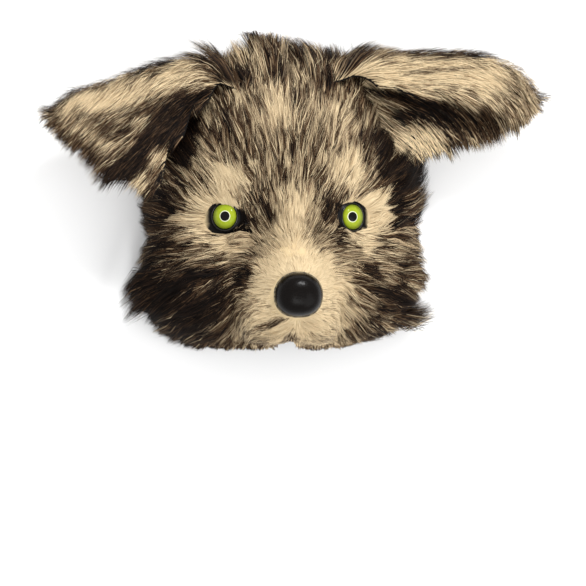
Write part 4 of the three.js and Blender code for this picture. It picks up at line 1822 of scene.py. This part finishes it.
RIGHT_EAR = EarPlan(
    side=1,
    crest=((22, 103, 44), (58, 129, 50), (110, 134, 56), (162, 132, 60), (197, 117, 60), (214, 98, 58)),
    fold_radius=(15, 9),
    front_flap=((0, 14), (0.2, 26), (0.45, 40), (0.7, 43), (0.88, 34), (1, 5)),
    rear_flap=((0, 92), (0.3, 104), (0.5, 97), (0.7, 78), (0.88, 44), (1, 5)),
    front_splay=8,
    rear_splay=-4,
    crest_pile=((0.2, 1.0), (0.45, 1.1), (0.65, 2.4), (0.85, 3.2)),
)
LEFT_EAR = EarPlan(
    side=-1,
    crest=((-26, 101, 44), (-62, 125, 52), (-100, 123, 58), (-140, 109, 62), (-172, 97, 62), (-194, 82, 60)),
    fold_radius=(16, 10),
    front_flap=((0, 20), (0.22, 30), (0.36, 46), (0.5, 68), (0.66, 98), (0.8, 80), (0.92, 42), (1, 5)),
    rear_flap=((0, 84), (0.3, 96), (0.5, 92), (0.7, 66), (0.88, 38), (1, 5)),
    front_splay=6,
    rear_splay=-2,
    crest_pile=((0.2, 1.0), (0.35, 1.9), (0.55, 1.6), (0.7, 1.2), (0.85, 2.2)),
)


@dataclass
class Ear:
    """An ear: a thick sheet folded over its crest, with fur on both faces of both flaps."""

    plan: EarPlan
    patches: tuple[Patch, ...]
    seed: int
    hairs_outside: int = 28000
    hairs_inside: int = 6000
    segments: int = 2
    half_pile: float = 6.5
    half_cloth: float = 2.2
    teeth: int = 6
    tooth: float = 9.0
    width: float = 0.46
    widest: float = 112.0
    edge_margin: float = 7.0
    tuft: Clump = Clump(3.2, 90, 0.35, 0.16)
    lock: Clump = Clump(16.0, 150, turn=0.22)
    fringe: Clump = Clump(7.0, 240, 0.6)
    inner_shift: int = 30
    wide_streaks: Streaks = Streaks(44.0, 3.0, 60, 0.14)
    fine_streaks: Streaks = Streaks(32.0, 1.5, 64, 0.22)
    strands: Streaks = Streaks(22.0, 0.9, 68)

    def __post_init__(self) -> None:
        """Sample the crest and fix the ear's own three directions."""
        self.crest_line = self.sampled_crest()
        travel = length_of(np.diff(self.crest_line, axis=0))
        self.travel = np.concatenate([[0.0], np.cumsum(travel)])
        crest = np.array(self.plan.crest, dtype=float)
        self.forward = unit(crest[-1] - crest[1])
        self.front = unit(across(np.array([0.0, 0.0, 1.0]), self.forward))
        self.down = np.cross(self.forward, self.front) * self.plan.side

    def sampled_crest(self) -> Array:
        """Run a centripetal Catmull-Rom curve through the crest's points, its ends carried straight on."""
        points = np.array(self.plan.crest, dtype=float)
        points = np.concatenate([[2 * points[0] - points[1]], points, [2 * points[-1] - points[-2]]])
        gaps = length_of(np.diff(points, axis=0)) ** 0.5
        share = np.linspace(0.0, 1.0, 60, endpoint=False)[:, None]
        runs = []
        for i in range(1, len(points) - 2):
            before, start, end, after = points[i - 1 : i + 3]
            g0, g1, g2 = gaps[i - 1 : i + 2]
            leave = (start - before) / g0 - (end - before) / (g0 + g1) + (end - start) / g1
            arrive = (end - start) / g1 - (after - start) / (g1 + g2) + (after - end) / g2
            leave, arrive = leave * g1, arrive * g1
            c2 = -3 * start + 3 * end - 2 * leave - arrive
            c3 = 2 * start - 2 * end + leave + arrive
            runs.append(start + leave * share + c2 * share**2 + c3 * share**3)
        return np.concatenate([*runs, points[-2:-1]])

    def sheet(self, share: Array, distance: Array) -> tuple[Array, Array]:
        """Find the middle of the folded sheet and the way its outer face looks.

        From the crest the sheet bends round the fold's radius until it hangs at its splay, then runs
        straight. Past the tip it runs on along the ear.

        Args:
            share: Place along the crest, 0 at the head and 1 at the tip.
            distance: Distance down the front flap, or negative down the rear flap.

        Returns:
            Points and unit vectors.
        """
        plan = self.plan
        inside = np.clip(share, 0.0, 1.0)
        at = inside * self.travel[-1]
        top = np.stack([np.interp(at, self.travel, self.crest_line[:, axis]) for axis in range(3)], axis=-1)
        top = top + self.forward * ((share - inside) * self.travel[-1])[..., None]
        radius = plan.fold_radius[0] + (plan.fold_radius[1] - plan.fold_radius[0]) * inside
        sign = np.where(distance < 0, -1.0, 1.0)
        bend = np.pi / 2 - np.radians(np.where(distance < 0, plan.rear_splay, plan.front_splay))
        turn = np.minimum(np.abs(distance) / radius, bend)
        straight = np.maximum(0.0, np.abs(distance) - radius * bend)
        forth = sign * (radius * np.sin(turn) + straight * np.cos(bend))
        fall = radius * (1 - np.cos(turn)) + straight * np.sin(bend)
        point = top + self.front * forth[..., None] + self.down * fall[..., None]
        out = self.front * (sign * np.sin(turn))[..., None] - self.down * np.cos(turn)[..., None]
        return point, out

    def flap_width(self, share: Array, rear: Array) -> Array:
        """Width of a flap at a place along the ear, with the ragged teeth of its edge."""
        inside = np.clip(share, 0.0, 1.0)
        flaps = [along_stations(flap, inside) for flap in (self.plan.rear_flap, self.plan.front_flap)]
        tooth = np.mod(inside * self.teeth, 1.0) ** 1.5 * self.tooth * smooth(0.15, 0.4, inside)
        return np.where(rear, *flaps) + tooth

    def backing(self) -> bpy.types.Object:
        """The cloth of the ear with its packed underfur; at the head it lies on the head's skin."""
        steps = np.linspace(0.0, 0.995, 72)
        places = np.linspace(-1.0, 1.0, 45)
        share, place = np.meshgrid(steps, places, indexing="ij")
        width = np.maximum(self.flap_width(share, place < 0) - 6.0, 3.0)
        middle, out = self.sheet(share, place * width)
        thin = np.sqrt(1.0 - np.abs(place) ** 3) * np.sqrt(np.maximum(0.05, 1.0 - share**6))
        thick = (self.half_cloth * thin)[..., None]
        rings = np.concatenate([middle + out * thick, (middle - out * thick)[:, -2:0:-1]], axis=1)
        if self.plan.side > 0:
            rings = rings[:, ::-1]
        flat = rings.reshape(-1, 3)
        height, _ = HEAD.measure(flat)
        laid, _ = HEAD.lifted(flat, np.maximum(height, COAT.skin(flat) + 0.6))
        name = SIDES[self.plan.side]
        piece = grid_mesh(f"ear_{name}_backing", laid.reshape(rings.shape), EarBackingFinish())
        shown = vertex_places(piece.data)
        tone = toned(self.patches, VIEW.seen(shown), np.full(len(shown), 0.5))
        rim = np.concatenate([np.abs(place), np.abs(place)[:, -2:0:-1]], axis=1)
        rim = np.append(rim.ravel(), [0.0, 0.0])
        add_tone(piece.data, tone + (1.1 - tone) * smooth(0.7, 0.95, rim))
        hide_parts(f"ear_{name}")
        return piece

    def angle(self, share: Array, distance: Array, rear: Array) -> Array:
        """The angle from the crest's line towards the flap's free edge at which hairs lie, in radians."""
        reach = np.abs(distance) / np.maximum(self.flap_width(share, rear), 1.0)
        if self.plan.side > 0:
            lie = -0.12 + 0.35 * smooth(0.3, 0.9, share) + 0.45 * smooth(0.45, 1.0, reach)
        else:
            lie = 0.08 + 0.2 * smooth(0.1, 0.5, share) * smooth(1.0, 0.7, share)
            lie = lie + 0.27 * smooth(0.35, 1.0, reach)
        lie = lie - 1.1 * smooth(0.3, 0.08, share)
        return np.where(rear, 0.5 + 0.5 * smooth(0.4, 1.0, reach), lie)

    def grown(
        self, share: Array, distance: Array, face: Array, length: Array, tip: Array, turn: Array
    ) -> tuple[Array, Array]:
        """Grow hairs over the folded sheet, from its cloth up to the height of their tips.

        Args:
            share: Place of the root along the ear.
            distance: Signed distance of the root from the crest.
            face: 1 on the outer face of the sheet and -1 on the inner.
            length: Length of each hair.
            tip: Height of each tip over the middle of the sheet.
            turn: Angle by which each leaves the comb's line.

        Returns:
            Paths and outward directions, both shaped (count, segments + 1, 3).
        """
        rear = distance < 0
        sign = np.where(rear, -1.0, 1.0)
        lie = self.angle(share, distance, rear) + turn
        onward = np.linspace(0.0, 1.0, self.segments + 1)[None, :]
        run_share = share[:, None] + (np.cos(lie) * length / self.travel[-1])[:, None] * onward
        run = distance[:, None] + (sign * np.sin(lie) * length)[:, None] * onward
        run = np.where((run * sign[:, None]) < 0.0, 0.0, run)
        middle, out = self.sheet(run_share, run + sign[:, None] * 1e-6)
        root = self.half_cloth * 0.6
        height = root + (tip[:, None] - root) * risen(onward)
        out = out * face[:, None, None]
        return middle + out * height[..., None], out

    def scattered(self, count: int, rng: Chance) -> tuple[Array, Array]:
        """Scatter roots over both flaps, as many to the square millimetre near the tip as near the head."""
        share = rng.random(count * 3)
        reach = rng.random(count * 3) * 2.0 - 1.0
        width = self.flap_width(share, reach < 0)
        keep = rng.random(count * 3) * self.widest < width
        share, reach, width = share[keep], reach[keep], width[keep]
        return share[:count], (reach * np.maximum(width - self.edge_margin, 1.0))[:count]

    def hairs(self, count: int, outer: bool, rng: Chance) -> Hairs:
        """Grow the hairs of one face of the ear.

        They are shorter towards the tip and the free edges, stand highest along the crest, and where the ear
        leaves the head they rise in locks.

        Args:
            count: How many hairs are tried.
            outer: Whether they grow on the outer face of the folded sheet.
            rng: Source of chance.

        Returns:
            The hairs that start outside the head.
        """
        share, distance = self.scattered(count, rng)
        count = len(share)
        face = np.full(count, 1.0 if outer else -1.0)
        middle, _ = self.sheet(share, distance)
        shift = 0 if outer else self.inner_shift
        tuft_middle, tuft = self.tuft.near(middle, shift)
        _, lock = self.lock.near(middle, shift)
        rear = distance < 0
        edge = np.abs(distance) / np.maximum(self.flap_width(share, rear), 1.0)
        length = (20.0 + 8.0 * tuft[:, 1]) * (0.75 + 0.4 * rng.random(count))
        length = length * (1.0 - 0.45 * smooth(0.75, 1.0, share))
        length = length * (1.0 - np.where(rear, 0.6, 0.3) * smooth(0.6, 1.0, edge))
        tip = self.half_pile * (0.7 + 0.3 * tuft[:, 2]) + 2.0 * lock[:, 1]
        tip = tip * (0.75 + 0.4 * rng.random(count))
        crest = bell(distance, 12.0) * (0.2 + 0.8 * rng.random(count))
        crest = crest * along_stations(self.plan.crest_pile, share)
        tip = np.where(outer, tip + 3.5 * crest, tip * 0.75) * (1.0 - 0.35 * smooth(0.75, 1.0, edge))
        base = smooth(0.34, 0.1, share) * bell(distance, 20.0) * (face > 0)
        tip = tip + base * (5.0 + 15.0 * lock[:, 1] ** 1.5)
        length = length * (1.0 + 0.4 * base)
        turn = (lock[:, 2] - 0.5) * self.lock.turn + (tuft[:, 1] - 0.5) * self.tuft.turn
        paths, looks = self.grown(share, distance, face, length, tip, turn + rng.normal(0.0, 0.1, count))
        onward = np.linspace(0.0, 1.0, self.segments + 1)[None, :, None]
        fringe_middle, _ = self.fringe.near(middle)
        by_edge = self.fringe.pull * smooth(0.5, 0.9, edge)
        for target, pull in ((tuft_middle, np.full(count, self.tuft.pull)), (fringe_middle, by_edge)):
            offset = target - middle
            lean = offset[:, None, :] - looks * np.einsum("ij,ikj->ik", offset, looks)[..., None]
            paths = paths + lean * pull[:, None, None] * onward**1.3
        sideways = ribbon_sides(paths, looks, rng.normal(0.0, 0.3, count))
        seen = VIEW.seen(paths[:, 1] + 0.35 * (paths[:, 2] - paths[:, 1]))
        dark = toned(self.patches, seen, np.full(count, 0.45))
        dark = np.where(rear & outer, 0.5 + 0.3 * smooth(0.6, 1.0, edge), dark)
        along = share * self.travel[-1]
        aside = distance - 0.35 * along * np.sign(distance)
        uneven = 0.12 * (lock[:, 0] - 0.5) + self.wide_streaks.swing(along, aside)
        dark = dark + unevenness(dark) * (uneven + self.fine_streaks.swing(along, aside))
        tones = hair_tones(dark, self.strands.share(along, aside), rng)
        hues = hair_hues(dark, rng.random(count))
        widths = self.width * (0.7 + 0.6 * rng.random(count))
        height, _ = HEAD.measure(paths[:, 0])
        made = Hairs(paths, sideways, tones, hues, widths)
        kept = (height > COAT.skin(paths[:, 0]) + 1.0) & (rng.random(count) < smooth(0.0, 0.16, share))
        return made.chosen(kept).within_reach()

    def build(self) -> list[bpy.types.Object]:
        """Make the ear's cloth and the fur of its faces."""
        rng = np.random.default_rng(self.seed)
        outside = self.hairs(self.hairs_outside, True, rng)
        inside = self.hairs(self.hairs_inside, False, rng)
        name = f"fur_ear_{SIDES[self.plan.side]}"
        return [
            self.backing(),
            hair_mesh(name, outside, EarFurFinish()),
            hair_mesh(f"{name}_inside", inside, EarFurFinish()),
        ]


# The studio


@dataclass(frozen=True)
class Lamp:
    """A square soft light that faces the mask: its place and its side in metres, and its power in watts."""

    name: str
    place: Triple
    size: float
    power: float

    def build(self, target: Triple) -> None:
        """Set the light and turn it to the target."""
        lamp = bpy.data.lights.new(self.name, "AREA")
        lamp.shape = "SQUARE"
        lamp.size = self.size
        lamp.energy = self.power
        stand = added(self.name, lamp)
        stand.location = Vector(self.place)
        stand.rotation_euler = (Vector(target) - Vector(self.place)).to_track_quat("-Z", "Y").to_euler()


@dataclass
class Studio:
    """The pale floor, the soft lights and the camera."""

    floor_half: float = 3.0
    world_strength: float = 0.92
    lit: Triple = (0.0, 0.0, 0.05)
    lamps: tuple[Lamp, ...] = (
        Lamp("key", (0.28, 1.1, 1.2), 0.34, 19.0),
        Lamp("front", (-0.2, -0.9, 2.2), 1.0, 10.5),
        Lamp("low right", (1.05, -0.8, 1.5), 1.5, 10.0),
    )

    def build(self) -> None:
        """Lay the floor and set the lights, the surroundings and the camera."""
        self.floor()
        for lamp in self.lamps:
            lamp.build(self.lit)
        self.surroundings()
        self.camera()

    def floor(self) -> None:
        """A large flat floor at the height of the back rim."""
        half = self.floor_half
        mesh = bpy.data.meshes.new("floor")
        corners = [(-half, -half, 0.0), (half, -half, 0.0), (half, half, 0.0), (-half, half, 0.0)]
        mesh.from_pydata(corners, [], [(0, 1, 2, 3)])
        mesh.materials.append(FloorFinish().material())
        added("floor", mesh)

    def surroundings(self) -> None:
        """An even white sky, and colours shown as they are."""
        world = bpy.data.worlds.new("studio")
        world.use_nodes = True
        sky = world.node_tree.nodes["Background"]
        sky.inputs[0].default_value = (1.0, 1.0, 1.0, 1.0)
        sky.inputs[1].default_value = self.world_strength
        bpy.context.scene.world = world
        bpy.context.scene.view_settings.view_transform = "Standard"

    def camera(self) -> None:
        """Set the camera on the view's line, level with the picture."""
        right, up, back = VIEW.axes()
        lens = bpy.data.cameras.new("camera")
        lens.sensor_width = VIEW.sensor
        lens.lens = VIEW.lens
        lens.clip_end = 50.0
        lens.clip_start = 0.05
        stand = added("camera", lens)
        place = PLACE.to_metres(VIEW.target() + back * VIEW.distance)
        turn = Matrix(np.stack([right, up, back], axis=1).tolist()).to_4x4()
        stand.matrix_world = Matrix.Translation(Vector(place.tolist())) @ turn
        bpy.context.scene.camera = stand


def main() -> None:
    """Build the mask from the inside out, then the studio."""
    logging.basicConfig(level=logging.INFO, format="%(message)s")
    Shell().build()
    Backing().build()
    DomedEye(-1, pupil_inward=0.22).build()
    DomedEye(1, pupil_inward=0.36).build()
    NosePad().build()
    HeadFur().build()
    EyeCorners().build()
    Ear(LEFT_EAR, LEFT_EAR_PATCHES, seed=7).build()
    Ear(RIGHT_EAR, RIGHT_EAR_PATCHES, seed=8).build()
    Studio().build()


if __name__ == "__main__":
    main()
